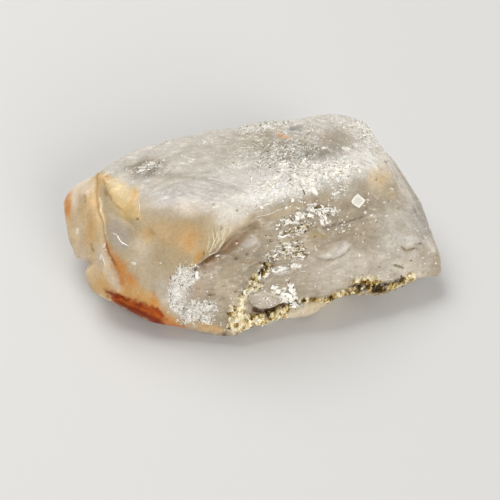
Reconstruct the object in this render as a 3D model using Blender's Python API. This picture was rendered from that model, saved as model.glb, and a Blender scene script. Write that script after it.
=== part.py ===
"""A quartz point: one broken piece of milky quartz, 96 mm long, lying on its flattest break.

The frame has +Z up, +X along the stone towards its pointed right-hand corner, and +Y towards the
back. The origin is the middle of the stone's box, on the surface that it rests on. Everything is
worked out in millimetres, and the last step makes metres.
"""

import math

import bmesh
import bpy
import numpy as np
from mathutils import Vector, noise

# Driving dimensions, in millimetres.
STONE_LENGTH = 96.0  # along X, over everything
BLOCK_VOXEL = 0.8  # spacing of the working surface
FINISHED_TRIANGLES = 10700  # before the stone is cut off flat below
METRE = 0.001
SPARE = 1.02  # the block is this much too large before its outline is trimmed

# Features of the front are placed as they are seen from here: looking along +Y and down.
VIEW_DISTANCE = 250.0
VIEW_ELEVATION = math.radians(45.0)

# The corners of the block that the stone was broken from, as (x, y, z).
TOP_REAR_RIM = [
    (-44.2, 7.3, 17.0),
    (-38.9, 7.4, 20.5),
    (-32.1, 13.7, 21.5),
    (-27.7, 17.0, 21.5),
    (-17.5, 18.7, 23.5),
    (-8.9, 20.8, 24.5),
    (-0.3, 21.6, 25.0),
    (9.7, 22.9, 25.2),
    (15.3, 25.3, 24.8),
    (23.2, 29.9, 22.7),
    (29.8, 30.3, 20.7),
    (32.4, 27.9, 19.0),
]
RIGHT_END_RIM = [
    (38.4, 17.4, 16.3),
    (41.3, 11.2, 14.2),
    (45.6, 1.7, 10.2),
    (47.0, -3.7, 8.0),
    (48.0, -14.0, 5.2),
]
FRONT_LOWER_RIM = [
    (39.0, -16.3, 4.3),
    (32.5, -19.9, 3.8),
    (14.8, -25.9, 3.0),
    (6.1, -27.0, 2.8),
    (-5.8, -31.4, 1.5),
    (-8.9, -31.0, 2.0),
    (-17.3, -29.6, 3.0),
    (-23.5, -28.8, 4.0),
    (-27.9, -27.0, 5.0),
    (-32.8, -24.9, 6.0),
    (-37.7, -21.6, 6.6),
]
LEFT_END_RIM = [
    (-41.2, -15.0, 9.0),
    (-45.6, -6.9, 11.0),
    (-48.2, 4.4, 13.0),
]
RIDGE = [
    (34.4, 8.1, 20.0),
    (24.7, 3.7, 26.0),
    (11.8, -8.3, 29.2),
    (2.8, -14.8, 29.8),
    (0.0, -17.9, 29.0),
    (-5.7, -22.1, 25.0),
    (-10.9, -24.4, 20.0),
]
LEFT_DOME = [
    (-13.9, -13.6, 30.2),
    (-23.4, -13.8, 27.6),
    (-30.5, -17.0, 22.4),
    (-19.0, -25.8, 12.0),
    (-36.9, -8.0, 20.4),
    (-35.2, -16.2, 16.4),
    (0.0, 4.5, 27.6),
    (-17.2, 2.5, 27.4),
    (20.6, 15.5, 25.4),
]
BACK = [
    (-43.5, 9.5, 8.0),
    (-30.0, 18.5, 9.0),
    (-8.0, 24.5, 11.0),
    (12.0, 28.5, 9.0),
    (25.0, 32.0, 8.0),
    (34.5, 24.0, 5.0),
    (42.5, 4.0, 3.5),
]
FOOT = [
    (-34.0, -12.0, -0.8),
    (-22.0, -22.0, -0.8),
    (-6.0, -25.0, -0.8),
    (20.0, -17.0, -0.8),
    (36.0, -8.0, -0.8),
    (30.0, 18.0, -0.8),
    (18.0, 25.0, -0.8),
    (-12.0, 19.0, -0.8),
    (-33.0, 10.0, -0.8),
]
CORNERS = (
    TOP_REAR_RIM
    + RIGHT_END_RIM
    + FRONT_LOWER_RIM
    + LEFT_END_RIM
    + RIDGE
    + LEFT_DOME
    + BACK
    + FOOT
)

# The stone's broken outline in the front view, as (across, up), clockwise from its left end.
OUTLINE = [
    (-49.1, 12.7),
    (-47.8, 15.3),
    (-45.4, 17.7),
    (-40.4, 20.1),
    (-36.7, 22.7),
    (-32.7, 25.1),
    (-28.0, 27.2),
    (-23.2, 28.2),
    (-17.7, 29.8),
    (-12.4, 31.4),
    (-9.0, 31.9),
    (-3.7, 31.8),
    (-0.3, 33.3),
    (9.8, 34.1),
    (22.7, 36.2),
    (24.6, 36.0),
    (29.0, 34.8),
    (31.4, 32.2),
    (34.8, 27.2),
    (38.0, 23.5),
    (44.9, 12.7),
    (48.3, 3.2),
    (50.2, -2.1),
    (50.4, -6.6),
    (44.1, -7.1),
    (41.4, -8.7),
    (34.8, -11.9),
    (31.4, -11.6),
    (24.6, -11.6),
    (19.8, -14.3),
    (15.8, -17.4),
    (10.6, -18.0),
    (6.6, -18.0),
    (3.2, -19.8),
    (-0.3, -19.8),
    (-2.9, -21.6),
    (-6.3, -23.0),
    (-9.8, -22.2),
    (-19.0, -20.3),
    (-25.9, -19.0),
    (-30.6, -16.6),
    (-40.7, -11.4),
    (-42.8, -6.9),
    (-43.8, -2.9),
    (-46.2, -1.6),
    (-47.8, 3.2),
    (-48.8, 8.4),
]

# Lines in the front view where the surface drops on the right, as (across, up, drop).
OVERHANG = [
    (-14.5, -5.5, 0.0),
    (-12.6, -3.4, 2.0),
    (-10.0, -0.5, 3.2),
    (-6.6, 2.7, 3.6),
    (-3.2, 6.2, 3.3),
    (0.0, 9.2, 2.3),
    (5.3, 10.2, 1.5),
    (10.6, 11.9, 1.2),
    (18.0, 14.6, 0.8),
    (27.0, 17.0, 0.0),
]
PLATE_LIP = [(0.0, -13.2, 0.0), (1.2, -14.9, 1.5), (4.8, -15.4, 1.7), (8.0, -14.2, 1.0), (9.4, -12.0, 0.0)]
FAN_ARC = [(-38.8, 17.7, 0.0), (-37.0, 14.2, 0.8), (-34.3, 10.6, 1.0), (-31.7, 8.2, 0.8), (-29.6, 6.6, 0.0)]
FAN_EDGE = [(-29.6, 14.0, 0.0), (-29.3, 10.6, -0.4), (-29.6, 6.6, 0.0)]
END_CHIP = [(39.4, 1.6, 0.0), (40.7, 0.1, 0.6), (42.5, -0.3, 0.6), (44.3, 0.9, 0.0)]
MIDDLE_ARC = [(13.6, -4.9, 0.0), (18.0, -3.2, 0.5), (22.4, -2.1, 0.5), (25.3, 0.2, 0.0)]
LAYERED_BLOCK = [(8.7, -17.4, 0.0), (11.5, -16.6, 0.9), (15.0, -15.4, 0.9), (18.5, -13.6, 0.0)]

# The drop is sharp within the brink, and the surface comes back up over the reach.
# The first is the dome on the left, which stands over the front face and runs on as the ridge's foot.
LEDGES = [  # (line, brink, reach)
    (OVERHANG, 1.0, 13.0),
    (PLATE_LIP, 0.3, 2.6),
    (FAN_ARC, 0.4, 5.0),
    (FAN_EDGE, 0.3, 4.0),
    (END_CHIP, 0.3, 2.0),
    (MIDDLE_ARC, 0.3, 3.0),
    (LAYERED_BLOCK, 0.3, 2.5),
]

# Furrows in the front view. The first parts the left end cap from the rest.
END_CRACK = [(-40.4, 20.6), (-40.7, 14.5), (-38.0, 1.3), (-36.4, -4.2), (-34.3, -9.5), (-32.5, -14.0)]
FRONT_FURROW = [(18.0, 4.6), (23.8, 7.7), (29.6, 10.0)]
REAR_TROUGH = [(4.0, 21.6), (13.2, 24.6), (25.0, 26.2)]
LEFT_SCOOP = [(-29.5, 22.6), (-23.0, 20.8)]
FURROWS = [  # (line, depth, width)
    (END_CRACK, 0.9, 0.8),
    (FRONT_FURROW, 0.6, 0.9),
    (REAR_TROUGH, 0.9, 3.0),
    (LEFT_SCOOP, 0.6, 2.6),
]

# Crusts of small crystals in the front view.
GOLDEN_SEAM = [(3.2, -3.2), (1.2, -6.3), (-0.8, -9.5), (-2.8, -13.5), (-4.8, -20.6)]
LOWER_CRUST = [(-1.0, -19.0), (3.2, -18.6), (6.6, -17.2), (10.6, -16.4), (18.5, -13.4), (23.6, -11.6)]
DARK_CRUST = [(23.6, -11.4), (29.0, -9.9), (33.0, -10.1), (37.0, -9.4), (44.4, -7.2)]
UPPER_FLAKES = [(7.9, 3.0), (15.8, 7.6), (22.2, 11.1)]
MIDDLE_FLAKES = [(5.0, -3.4), (9.2, -1.1), (13.8, 0.7)]
CRUSTS = [  # (line, height, width)
    (GOLDEN_SEAM, 1.0, 1.5),
    (LOWER_CRUST, 1.1, 1.3),
    (DARK_CRUST, 1.1, 1.6),
    (UPPER_FLAKES, 0.5, 2.2),
    (MIDDLE_FLAKES, 0.6, 1.8),
]

# Flat facets in the front view, as (across, up, half width, half height, lift).
FACETS = [
    (-34.3, 4.4, 2.7, 5.2, -0.4),  # the clear window beside the crack
    (4.4, -12.9, 4.0, 2.0, 0.2),  # the thin plate
    (28.5, 13.2, 1.7, 1.7, 0.5),  # a bright diamond-shaped flake
    (22.8, 29.6, 4.4, 2.6, -0.3),  # the clear facet by the rear rim
]

# Shallow shells broken out of the block: (x, y, z, radius) of the ball that each one fits.
SHELLS = [
    (-3.6, 24.6, 28.0, 4.2),
    (-22.5, 22.4, 25.2, 4.0),
    (-26.0, 55.0, 24.0, 38.0),
    (5.0, 69.0, 13.0, 44.6),
    (33.0, 60.0, 25.0, 31.2),
    (-8.0, 40.0, -14.0, 24.6),
    (23.0, 46.0, -14.0, 26.4),
    (-41.0, 30.0, 2.0, 20.0),
    (66.0, 10.0, -12.0, 31.0),
    (56.0, 35.0, 10.0, 27.0),
    (-58.0, -2.0, -8.0, 20.0),
    (-44.0, -34.0, -8.0, 20.0),
    (-22.0, -42.0, -16.0, 23.6),
    (4.0, -44.0, -15.0, 23.0),
    (27.0, -31.0, -8.0, 16.4),
]
SHELL_WARP = 0.022  # how far the shells depart from true balls, as a share of the radius


def clear_scene():
    for thing in list(bpy.data.objects):
        bpy.data.objects.remove(thing)


def block():
    """The convex block with the stone's corners."""
    solid = bmesh.new()
    for corner in CORNERS:
        solid.verts.new(corner)
    hull = bmesh.ops.convex_hull(solid, input=solid.verts)
    loose = [v for v in hull["geom_interior"] if isinstance(v, bmesh.types.BMVert)]
    bmesh.ops.delete(solid, geom=loose, context="VERTS")
    bmesh.ops.scale(solid, vec=(SPARE, SPARE, SPARE), verts=solid.verts)
    mesh = bpy.data.meshes.new("quartz_point")
    solid.to_mesh(mesh)
    solid.free()
    stone = bpy.data.objects.new("quartz_point", mesh)
    bpy.context.scene.collection.objects.link(stone)
    return stone


def apply_modifiers(stone):
    """Makes the stone's modifiers part of its mesh."""
    graph = bpy.context.evaluated_depsgraph_get()
    finished = bpy.data.meshes.new_from_object(stone.evaluated_get(graph))
    stone.modifiers.clear()
    stone.data = finished


def remesh(stone):
    """Gives the stone an even working surface."""
    even = stone.modifiers.new("even_surface", "REMESH")
    even.mode = "VOXEL"
    even.voxel_size = BLOCK_VOXEL
    apply_modifiers(stone)


def read(mesh):
    """The mesh's points, point normals and edges, as arrays."""
    points = np.empty(len(mesh.vertices) * 3, np.float32)
    normals = np.empty(len(mesh.vertices) * 3, np.float32)
    edges = np.empty(len(mesh.edges) * 2, np.int32)
    mesh.vertices.foreach_get("co", points)
    mesh.vertices.foreach_get("normal", normals)
    mesh.edges.foreach_get("vertices", edges)
    points, normals = points.reshape(-1, 3).astype(float), normals.reshape(-1, 3).astype(float)
    return points, normals, edges.reshape(-1, 2)


def write(mesh, points):
    mesh.vertices.foreach_set("co", points.astype(np.float32).ravel())
    mesh.update()


def front_view(points):
    """Each point's place (across, up) in the front view, in millimetres at the stone's distance, and
    the scale of the view there."""
    sine, cosine = math.sin(VIEW_ELEVATION), math.cos(VIEW_ELEVATION)
    up = points[:, 1] * sine + points[:, 2] * cosine
    scale = VIEW_DISTANCE / (VIEW_DISTANCE + points[:, 1] * cosine - points[:, 2] * sine)
    return np.stack([points[:, 0], up], axis=1) * scale[:, None], scale


def facing_front(normals):
    """1 where the surface faces the front view, 0 where it faces away."""
    towards = -normals[:, 1] * math.cos(VIEW_ELEVATION) + normals[:, 2] * math.sin(VIEW_ELEVATION)
    return np.clip(towards * 4.0, 0.0, 1.0)


def towards_line(places, line):
    """For each segment of a line: the way to it from each place, and how far along it that is, 0 to 1."""
    for start, end in zip(line, line[1:]):
        start, end = np.array(start[: places.shape[1]]), np.array(end[: places.shape[1]])
        along = end - start
        offset = places - start
        share = np.clip(offset @ along / (along @ along), 0.0, 1.0)
        yield share[:, None] * along - offset, share, along, offset


def distance_to(places, line):
    return np.min([np.linalg.norm(way, axis=1) for way, _, _, _ in towards_line(places, line)], axis=0)


def beside_line(places, line):
    """How far each place lies to the right of a line (across, up, drop), negative on its left, and the
    drop beside it, mixed from the parts of the line that are near."""
    nearest = np.full(len(places), np.inf)
    side, drop, weights = np.zeros((3, len(places)))
    for step, (way, share, along, offset) in enumerate(towards_line(places, line)):
        distance = np.hypot(way[:, 0], way[:, 1])
        closer = distance < nearest
        nearest = np.where(closer, distance, nearest)
        turned = along[0] * offset[:, 1] - along[1] * offset[:, 0]
        side = np.where(closer, np.where(turned < 0, 1.0, -1.0), side)
        weight = 1.0 / (distance + 0.3) ** 3
        drop += weight * (line[step][2] + share * (line[step + 1][2] - line[step][2]))
        weights += weight
    return nearest * side, drop / weights


def ledge(places, line, brink, reach):
    """How far the surface drops beside a line."""
    beside, drop = beside_line(places, line)
    beside = np.maximum(beside, 0.0)
    return drop * (1.0 - np.exp(-beside / brink)) * np.exp(-((beside / reach) ** 2))


def rough(points, size, seed):
    """Smooth noise from about -1 to 1, with lumps of that size."""
    shift = Vector((seed * 17.3, seed * 5.9, -seed * 11.1))
    return np.array([noise.noise(Vector(p) / size + shift) for p in points]) * 1.6


def even_out(points, edges, softness, rounds):
    """Rounds the surface off, by softness from 0 to 1 at each point."""
    count = np.bincount(edges.ravel(), minlength=len(points))[:, None]
    for _ in range(rounds):
        total = np.zeros_like(points)
        for axis in range(3):
            total[:, axis] += np.bincount(edges[:, 0], points[edges[:, 1], axis], len(points))
            total[:, axis] += np.bincount(edges[:, 1], points[edges[:, 0], axis], len(points))
        points = points + (total / count - points) * softness[:, None]
    return points


def dome_share(points):
    """1 on the worn dome on the left of the front, 0 away from it."""
    places, _ = front_view(points)
    return np.clip(2.5 - 2.5 * np.hypot((places[:, 0] + 18.0) / 22.0, (places[:, 1] - 2.0) / 21.0), 0.0, 1.0)


def softness_of(points):
    """The dome is worn round, and the broken rims stay crisp."""
    rim = TOP_REAR_RIM + RIGHT_END_RIM + FRONT_LOWER_RIM + LEFT_END_RIM
    away = distance_to(points / SPARE, rim + rim[:1])
    crisp = np.exp(-((away / 2.5) ** 2))
    return (0.25 + 0.7 * dome_share(points)) * (1.0 - 0.9 * crisp)


def facet(points, places, front, across, up, half_width, half_height, lift):
    """Presses a patch of the surface flat, and lifts it."""
    reach = np.hypot((places[:, 0] - across) / half_width, (places[:, 1] - up) / half_height)
    within = np.clip(6.0 - 5.0 * reach, 0.0, 1.0) * front
    patch = points[within > 0.9]
    middle = patch.mean(axis=0)
    _, _, axes = np.linalg.svd(patch - middle)
    outward = axes[2] * (1.0 if axes[2, 2] > 0 else -1.0)
    height = (points - middle) @ outward - lift
    return points - outward * (height * within)[:, None]


def shell(points):
    """Pushes what is inside each ball out onto its surface."""
    warp = 1.0 + SHELL_WARP * rough(points, 7.0, 4)
    for x, y, z, radius in SHELLS:
        away = points - np.array([x, y, z])
        distance = np.linalg.norm(away, axis=1)
        push = np.maximum(radius * warp / distance - 1.0, 0.0)
        points = points + away * push[:, None]
    return points


def trim(points):
    """Moves what stands out past the outline in the front view back to it."""
    places, scale = front_view(points)
    loop = OUTLINE + OUTLINE[:1]
    outside = np.ones(len(points), bool)
    for (x0, y0), (x1, y1) in zip(loop, loop[1:]):
        if y0 == y1:
            continue
        crosses = (places[:, 1] > min(y0, y1)) & (places[:, 1] <= max(y0, y1))
        crosses &= places[:, 0] < x0 + (places[:, 1] - y0) * (x1 - x0) / (y1 - y0)
        outside ^= crosses
    ways = np.array([way for way, _, _, _ in towards_line(places, loop)])
    nearest = np.linalg.norm(ways, axis=2).argmin(axis=0)
    way = ways[nearest, np.arange(len(points))] * (outside / scale)[:, None]
    points[:, 0] += way[:, 0]
    points[:, 1] += way[:, 1] * math.sin(VIEW_ELEVATION)
    points[:, 2] += way[:, 1] * math.cos(VIEW_ELEVATION)
    return points


def soften(stone):
    points, _, edges = read(stone.data)
    write(stone.data, even_out(points, edges, softness_of(points), 30))


def relief(stone):
    """The ledges, furrows, crusts and facets of the front, and the roughness all over."""
    points, normals, _ = read(stone.data)
    places, _ = front_view(points)
    front = facing_front(normals)
    inward = np.zeros(len(points))
    for line, brink, reach in LEDGES:
        inward += ledge(places, line, brink, reach) * front
    for line, depth, width in FURROWS:
        inward += depth * np.exp(-((distance_to(places, line) / width) ** 2)) * front
    lumps = 0.55 + 0.6 * rough(points, 2.3, 5)
    for line, height, width in CRUSTS:
        inward -= height * lumps * np.exp(-((distance_to(places, line) / width) ** 2)) * front
    crisp = 1.0 - 0.75 * dome_share(points)
    inward += 0.40 * rough(points, 13.0, 1)
    inward += (0.26 * rough(points, 5.0, 2) + 0.16 * rough(points, 2.4, 3)) * crisp
    points -= normals * inward[:, None]
    for spot in FACETS:
        points = facet(points, places, front, *spot)
    write(stone.data, points)


def break_out(stone):
    """The broken shells of the back, the ends and the underside, and the outline."""
    points, _, _ = read(stone.data)
    write(stone.data, trim(shell(points)))


def rest_flat(stone):
    """Cuts the stone off flat where it rests."""
    solid = bmesh.new()
    solid.from_mesh(stone.data)
    everything = solid.verts[:] + solid.edges[:] + solid.faces[:]
    cut = bmesh.ops.bisect_plane(
        solid, geom=everything, plane_co=(0, 0, 0), plane_no=(0, 0, -1), clear_outer=True
    )
    rim = [e for e in cut["geom_cut"] if isinstance(e, bmesh.types.BMEdge)]
    bmesh.ops.contextual_create(solid, geom=rim)
    solid.to_mesh(stone.data)
    solid.free()


def place(stone):
    """Scales the stone to its real length, in metres, with its origin under the middle of its box."""
    points, _, _ = read(stone.data)
    low, high = points.min(axis=0), points.max(axis=0)
    middle = (low + high) / 2.0
    middle[2] = low[2]
    write(stone.data, (points - middle) * (STONE_LENGTH / (high[0] - low[0]) * METRE))


def milky_quartz():
    material = bpy.data.materials.new("milky_quartz")
    material.use_nodes = True
    surface = material.node_tree.nodes["Principled BSDF"]
    surface.inputs["Base Color"].default_value = (0.62, 0.56, 0.49, 1.0)
    surface.inputs["Roughness"].default_value = 0.35
    surface.inputs["Metallic"].default_value = 0.0
    return material


def main():
    clear_scene()
    stone = block()
    remesh(stone)
    soften(stone)
    relief(stone)
    break_out(stone)
    remesh(stone)
    thin = stone.modifiers.new("fewer_faces", "DECIMATE")
    stone.data.calc_loop_triangles()
    thin.ratio = FINISHED_TRIANGLES / len(stone.data.loop_triangles)
    apply_modifiers(stone)
    rest_flat(stone)
    place(stone)
    stone.data.materials.append(milky_quartz())


main()
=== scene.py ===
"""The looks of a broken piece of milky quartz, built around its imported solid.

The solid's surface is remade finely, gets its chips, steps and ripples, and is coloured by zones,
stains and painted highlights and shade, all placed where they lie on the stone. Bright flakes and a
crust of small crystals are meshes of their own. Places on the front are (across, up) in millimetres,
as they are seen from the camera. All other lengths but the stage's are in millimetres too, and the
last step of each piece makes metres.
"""

import math

import bmesh
import bpy
import numpy as np
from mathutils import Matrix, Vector
from mathutils.bvhtree import BVHTree


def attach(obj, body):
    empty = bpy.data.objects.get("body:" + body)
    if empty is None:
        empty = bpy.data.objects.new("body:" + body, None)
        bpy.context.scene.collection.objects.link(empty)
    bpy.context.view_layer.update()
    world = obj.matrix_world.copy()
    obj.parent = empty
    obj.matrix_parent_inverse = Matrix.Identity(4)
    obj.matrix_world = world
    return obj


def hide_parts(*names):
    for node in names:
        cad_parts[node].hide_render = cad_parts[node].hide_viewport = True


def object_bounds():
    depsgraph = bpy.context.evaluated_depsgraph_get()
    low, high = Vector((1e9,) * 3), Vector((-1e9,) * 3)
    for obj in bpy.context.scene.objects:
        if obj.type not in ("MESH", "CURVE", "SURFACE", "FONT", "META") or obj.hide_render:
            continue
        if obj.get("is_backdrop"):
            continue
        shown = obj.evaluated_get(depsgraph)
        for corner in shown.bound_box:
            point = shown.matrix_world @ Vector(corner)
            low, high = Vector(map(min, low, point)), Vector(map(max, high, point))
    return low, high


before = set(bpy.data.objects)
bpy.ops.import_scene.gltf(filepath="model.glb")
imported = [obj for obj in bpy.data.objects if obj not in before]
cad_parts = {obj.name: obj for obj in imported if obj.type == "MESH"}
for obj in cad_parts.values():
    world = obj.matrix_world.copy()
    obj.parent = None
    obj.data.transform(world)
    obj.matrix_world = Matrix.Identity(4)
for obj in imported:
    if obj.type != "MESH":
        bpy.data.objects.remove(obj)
CAD_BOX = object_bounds()

MM = 0.001
LOW, HIGH = (np.array(corner) / MM for corner in CAD_BOX)  # the solid's box, in millimetres
BODY = "root"
NODE = "quartz_point"
FLAKE_SEED, CRUST_SEED = 5, 8

# The camera, and the front view that places on the front refer to.
VIEW_DISTANCE = 250.0
VIEW_ELEVATION = math.radians(45.0)
FRAME_WIDTH = 132.0  # what the picture's width takes in at the stone
SENSOR = 36.0
SINE, COSINE = math.sin(VIEW_ELEVATION), math.cos(VIEW_ELEVATION)
EYE = np.array([0.0, -VIEW_DISTANCE * COSINE, VIEW_DISTANCE * SINE])
UP = np.array([0.0, SINE, COSINE])

# The stone's working surface.
COARSE = 0.66  # spacing at the back; the front has half of it
SMOOTHING_ROUNDS = 7
SMOOTHING_STEPS = (0.55, -0.50)  # the second gives back most of the volume that the first takes
SUGAR = [(1.5, 0.16, 9), (0.8, 0.22, 11)]  # the tiny broken faces on the sugary parts: size, tilt, seed

# ------------------------ lines and zones on the front

OVERHANG = [(-15.2, -4.6), (-12.8, -2.8), (-10, -0.7), (-6.5, 2.2), (-3.2, 5), (0.4, 7.6)]
RIDGE = [
    (-11.9, 4), (-6.6, 9.2), (0, 13.7), (5.3, 15.8), (10.6, 16.9), (18.5, 20.6), (25.1, 22.7), (31, 24),
]
END_CRACK = [
    (-40.2, 20.8), (-40.4, 14.4), (-39.8, 10.4), (-38.9, 8), (-38.3, 3.6), (-37.6, 1.2), (-36.2, -2.1),
    (-34.3, -9.5), (-32.5, -14),
]
FURROW = [(19.6, 5.8), (24.7, 7.3), (29.5, 8.8)]
# Sugary quartz under the overhang, curled round a smooth middle.
FROST_BAND = [(-15.4, -5.4), (-18.6, -9), (-19.8, -13.4), (-17.6, -16.8), (-13.4, -16.8), (-10.2, -15)]
# The crust of crystals: a seam down the front, lumps at its foot, and the lower edge with a dark middle.
SEAM = [(4.2, -4.4), (1.9, -7), (-0.4, -10.4), (-1.9, -13), (-2.7, -17)]
SEAM_DIRT = [(4.2, -4.4), (2.8, -5.6)]
SEAM_SHADE = [(-3.5, -13), (-3.9, -16.2)]
CRUST_CROWN = [(28.4, -8.4), (30.2, -7.5), (32.4, -8.1)]
SEAM_FOOT = [(-4.2, -16.5), (-4, -20.4), (0.6, -18.4), (3.8, -17.9), (8.6, -15.9)]
BLOCK_TOP = [(9, -15.4), (12, -13.9), (15, -13.2), (20.2, -13.1), (22, -12), (24.6, -11.2), (27.4, -10.9)]
DARK_EDGE = [(28.2, -9.6), (30.8, -8.8), (33.4, -9.8)]
GOLD_EDGE = [(33.6, -10.6), (37.4, -9.4), (40.2, -8), (42.8, -6.9)]
GOLD_EDGE_GROOVE = [(33.4, -9.6), (37.6, -8.3), (40, -7.4)]
BEVEL = [(30.6, 32.7), (33.8, 28), (37.2, 22.4), (40.1, 17.4), (43.3, 11.1), (45.4, 5.8), (48, 0)]

CAP = [(-53, 26), (-40.4, 21.5), *END_CRACK[1:], (-32.5, -18), (-53, -18)]
WINDOW = [(-37.6, 9.8), (-32.2, 7.4), (-31.4, 2.6), (-31.8, 0), (-35.1, -0.5), (-37, 4)]
FAN = [(-39, 19.4), (-35, 18.4), (-30, 16.4), (-29.4, 13.6), (-29.2, 8.6), (-33, 8.4), (-36.2, 12)]
TOP = [
    (-39, 21), (-29, 14), (-17, 11), (-9, 10), (-3.2, 9.6), (5.3, 12), (18, 16.2), (27, 18.6), (33, 20.5),
    (38, 22), (31, 44), (-30, 44),
]
FACE = [
    (-15.2, -4.6), (-10, -0.7), (-3.2, 5), (0.4, 7.6), (1.4, 14), (10.6, 19), (27, 25), (37, 26),
    (56, -2), (46, -16), (0, -30), (-16, -30), (-19, -16),
]
PLATE = [
    (-0.6, -12.6), (0.9, -11.2), (3.8, -10.6), (6.2, -11.6), (8.9, -12.2), (8.3, -13.6), (6.2, -14.6),
    (4.6, -15.3), (1.8, -15.1), (0.4, -14.3),
]
PLATE_SHADOW = [(1, -15.8), (3.2, -16.3), (5.6, -16.1), (7.4, -15.2), (8.6, -14.4)]


def front_view(points):
    """Each point's place (across, up) in the front view."""
    depth = VIEW_DISTANCE + points[:, 1] * COSINE - points[:, 2] * SINE
    up = points[:, 1] * SINE + points[:, 2] * COSINE
    return np.stack([points[:, 0], up], axis=1) * (VIEW_DISTANCE / depth)[:, None]


def ways_to(places, line):
    """For each segment of a line: the way from each place to it, and its direction and start."""
    for start, end in zip(line, line[1:]):
        start, along = np.array(start, float), np.subtract(end, start, dtype=float)
        share = np.clip((places - start) @ along / (along @ along), 0.0, 1.0)
        yield start + share[:, None] * along - places, along, start


def distance_to(places, line):
    return np.min([np.hypot(*way.T) for way, _, _ in ways_to(places, line)], axis=0)


def near(places, line, width):
    """1 on a line, falling off to 0 over about the width."""
    return np.exp(-((distance_to(places, line) / width) ** 2))


def beside(places, line):
    """How far each place lies to the right of a line, negative on its left."""
    nearest, side = np.full(len(places), np.inf), np.zeros(len(places))
    for way, along, start in ways_to(places, line):
        distance = np.hypot(*way.T)
        closer = distance < nearest
        turned = along[0] * (places[:, 1] - start[1]) - along[1] * (places[:, 0] - start[0])
        nearest = np.where(closer, distance, nearest)
        side = np.where(closer, -np.sign(turned), side)
    return nearest * side


def inside(places, outline, soft):
    """1 inside an outline and 0 outside it, with an edge about so soft."""
    loop = outline + outline[:1]
    within = np.zeros(len(places), bool)
    for (x0, y0), (x1, y1) in zip(loop, loop[1:]):
        if y0 == y1:
            continue
        crosses = (places[:, 1] > min(y0, y1)) & (places[:, 1] <= max(y0, y1))
        within ^= crosses & (places[:, 0] < x0 + (places[:, 1] - y0) * (x1 - x0) / (y1 - y0))
    signed = distance_to(places, loop) * np.where(within, 1.0, -1.0)
    return smooth_step(signed / soft + 0.5)


def turned(x, y, degrees):
    """A place's two coordinates along axes that are turned by so many degrees."""
    c, s = math.cos(math.radians(degrees)), math.sin(math.radians(degrees))
    return x * c + y * s, y * c - x * s


def spot(places, across, up, half_width, half_height, turn=0):
    """1 at the middle of an oval spot, falling off smoothly past its edge."""
    x, y = turned(places[:, 0] - across, places[:, 1] - up, turn)
    x, y = x / half_width, y / half_height
    return np.exp(-((x * x + y * y) ** 1.5))


def lines_sum(places, rows):
    """The sum of soft lines: (line, half width, strength)."""
    return sum(strength * near(places, line, half_width) for line, half_width, strength in rows)


def spots_sum(places, rows):
    """The sum of oval spots: (strength, across, up, half width, half height, turn)."""
    return sum(strength * spot(places, *oval) for strength, *oval in rows)


def smooth_step(x):
    x = np.clip(x, 0.0, 1.0)
    return x * x * (3.0 - 2.0 * x)


# ------------------------ patterns in space


def hashed(cells, seed):
    """Three numbers from 0 to 1 for each whole-number cell."""
    key = cells.astype(np.int64).astype(np.uint64)
    mixed = key[:, 0] * np.uint64(0x9E3779B97F4A7C15)
    mixed ^= key[:, 1] * np.uint64(0xC2B2AE3D27D4EB4F)
    mixed ^= key[:, 2] * np.uint64(0x165667B19E3779F9)
    mixed ^= np.uint64(seed * 7919 + 1)
    numbers = []
    for _ in range(3):
        mixed = (mixed ^ (mixed >> np.uint64(30))) * np.uint64(0xBF58476D1CE4E5B9)
        mixed = (mixed ^ (mixed >> np.uint64(27))) * np.uint64(0x94D049BB133111EB)
        mixed ^= mixed >> np.uint64(31)
        numbers.append((mixed >> np.uint64(11)) / 2.0**53)
    return np.stack(numbers, axis=1)


def lumps(points, size, seed):
    """Smooth noise from about -1 to 1, with lumps of that size (one size, or one for each axis)."""
    place = points / np.asarray(size, float) + seed * 13.7
    base = np.floor(place)
    share = place - base
    ease = share**3 * (share * (share * 6 - 15) + 10)
    total = np.zeros(len(points))
    for corner in np.ndindex(2, 2, 2):
        slope = hashed(base + corner, seed) * 2 - 1
        weight = np.prod(np.where(corner, ease, 1 - ease), axis=1)
        total += np.sum(slope * (share - corner), axis=1) * weight
    return total * 1.7


def chips(points, size, seed):
    """The nearest of scattered chips: its three random numbers, and the way from its middle."""
    place = points / size
    base = np.floor(place)
    best = np.full(len(points), np.inf)
    numbers, offset = np.zeros((2, len(points), 3))
    for step in np.ndindex(3, 3, 3):
        cell = base + step - 1
        jitter = hashed(cell, seed)
        way = place - cell - jitter
        distance = np.sum(way * way, axis=1)
        closer = distance < best
        best = np.where(closer, distance, best)
        numbers[closer] = hashed(cell[closer], seed + 1)
        offset[closer] = way[closer]
    return numbers, offset * size


def facets(points, size, tilt, seed):
    """Small flat facets at odd angles, as heights."""
    numbers, offset = chips(points, size, seed)
    return np.sum((numbers * 2 - 1) * offset, axis=1) * tilt


def drawn_out(points, share):
    """Places in which a pattern gets drawn out along the ridge, to 1 / share of its size."""
    return np.stack([points[:, 0] * share - points[:, 1] * (share / 2), points[:, 1], points[:, 2]], axis=1)


# ------------------------ meshes


def read(mesh):
    """A mesh's points, its normals there and the two ends of each edge."""
    points, normals = np.empty((2, len(mesh.vertices) * 3), np.float32)
    edges = np.empty(len(mesh.edges) * 2, np.int32)
    mesh.vertices.foreach_get("co", points)
    mesh.vertices.foreach_get("normal", normals)
    mesh.edges.foreach_get("vertices", edges)
    return points.reshape(-1, 3).astype(float), normals.reshape(-1, 3).astype(float), edges.reshape(-1, 2)


def write(mesh, points):
    mesh.vertices.foreach_set("co", points.astype(np.float32).ravel())
    mesh.update()


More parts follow.
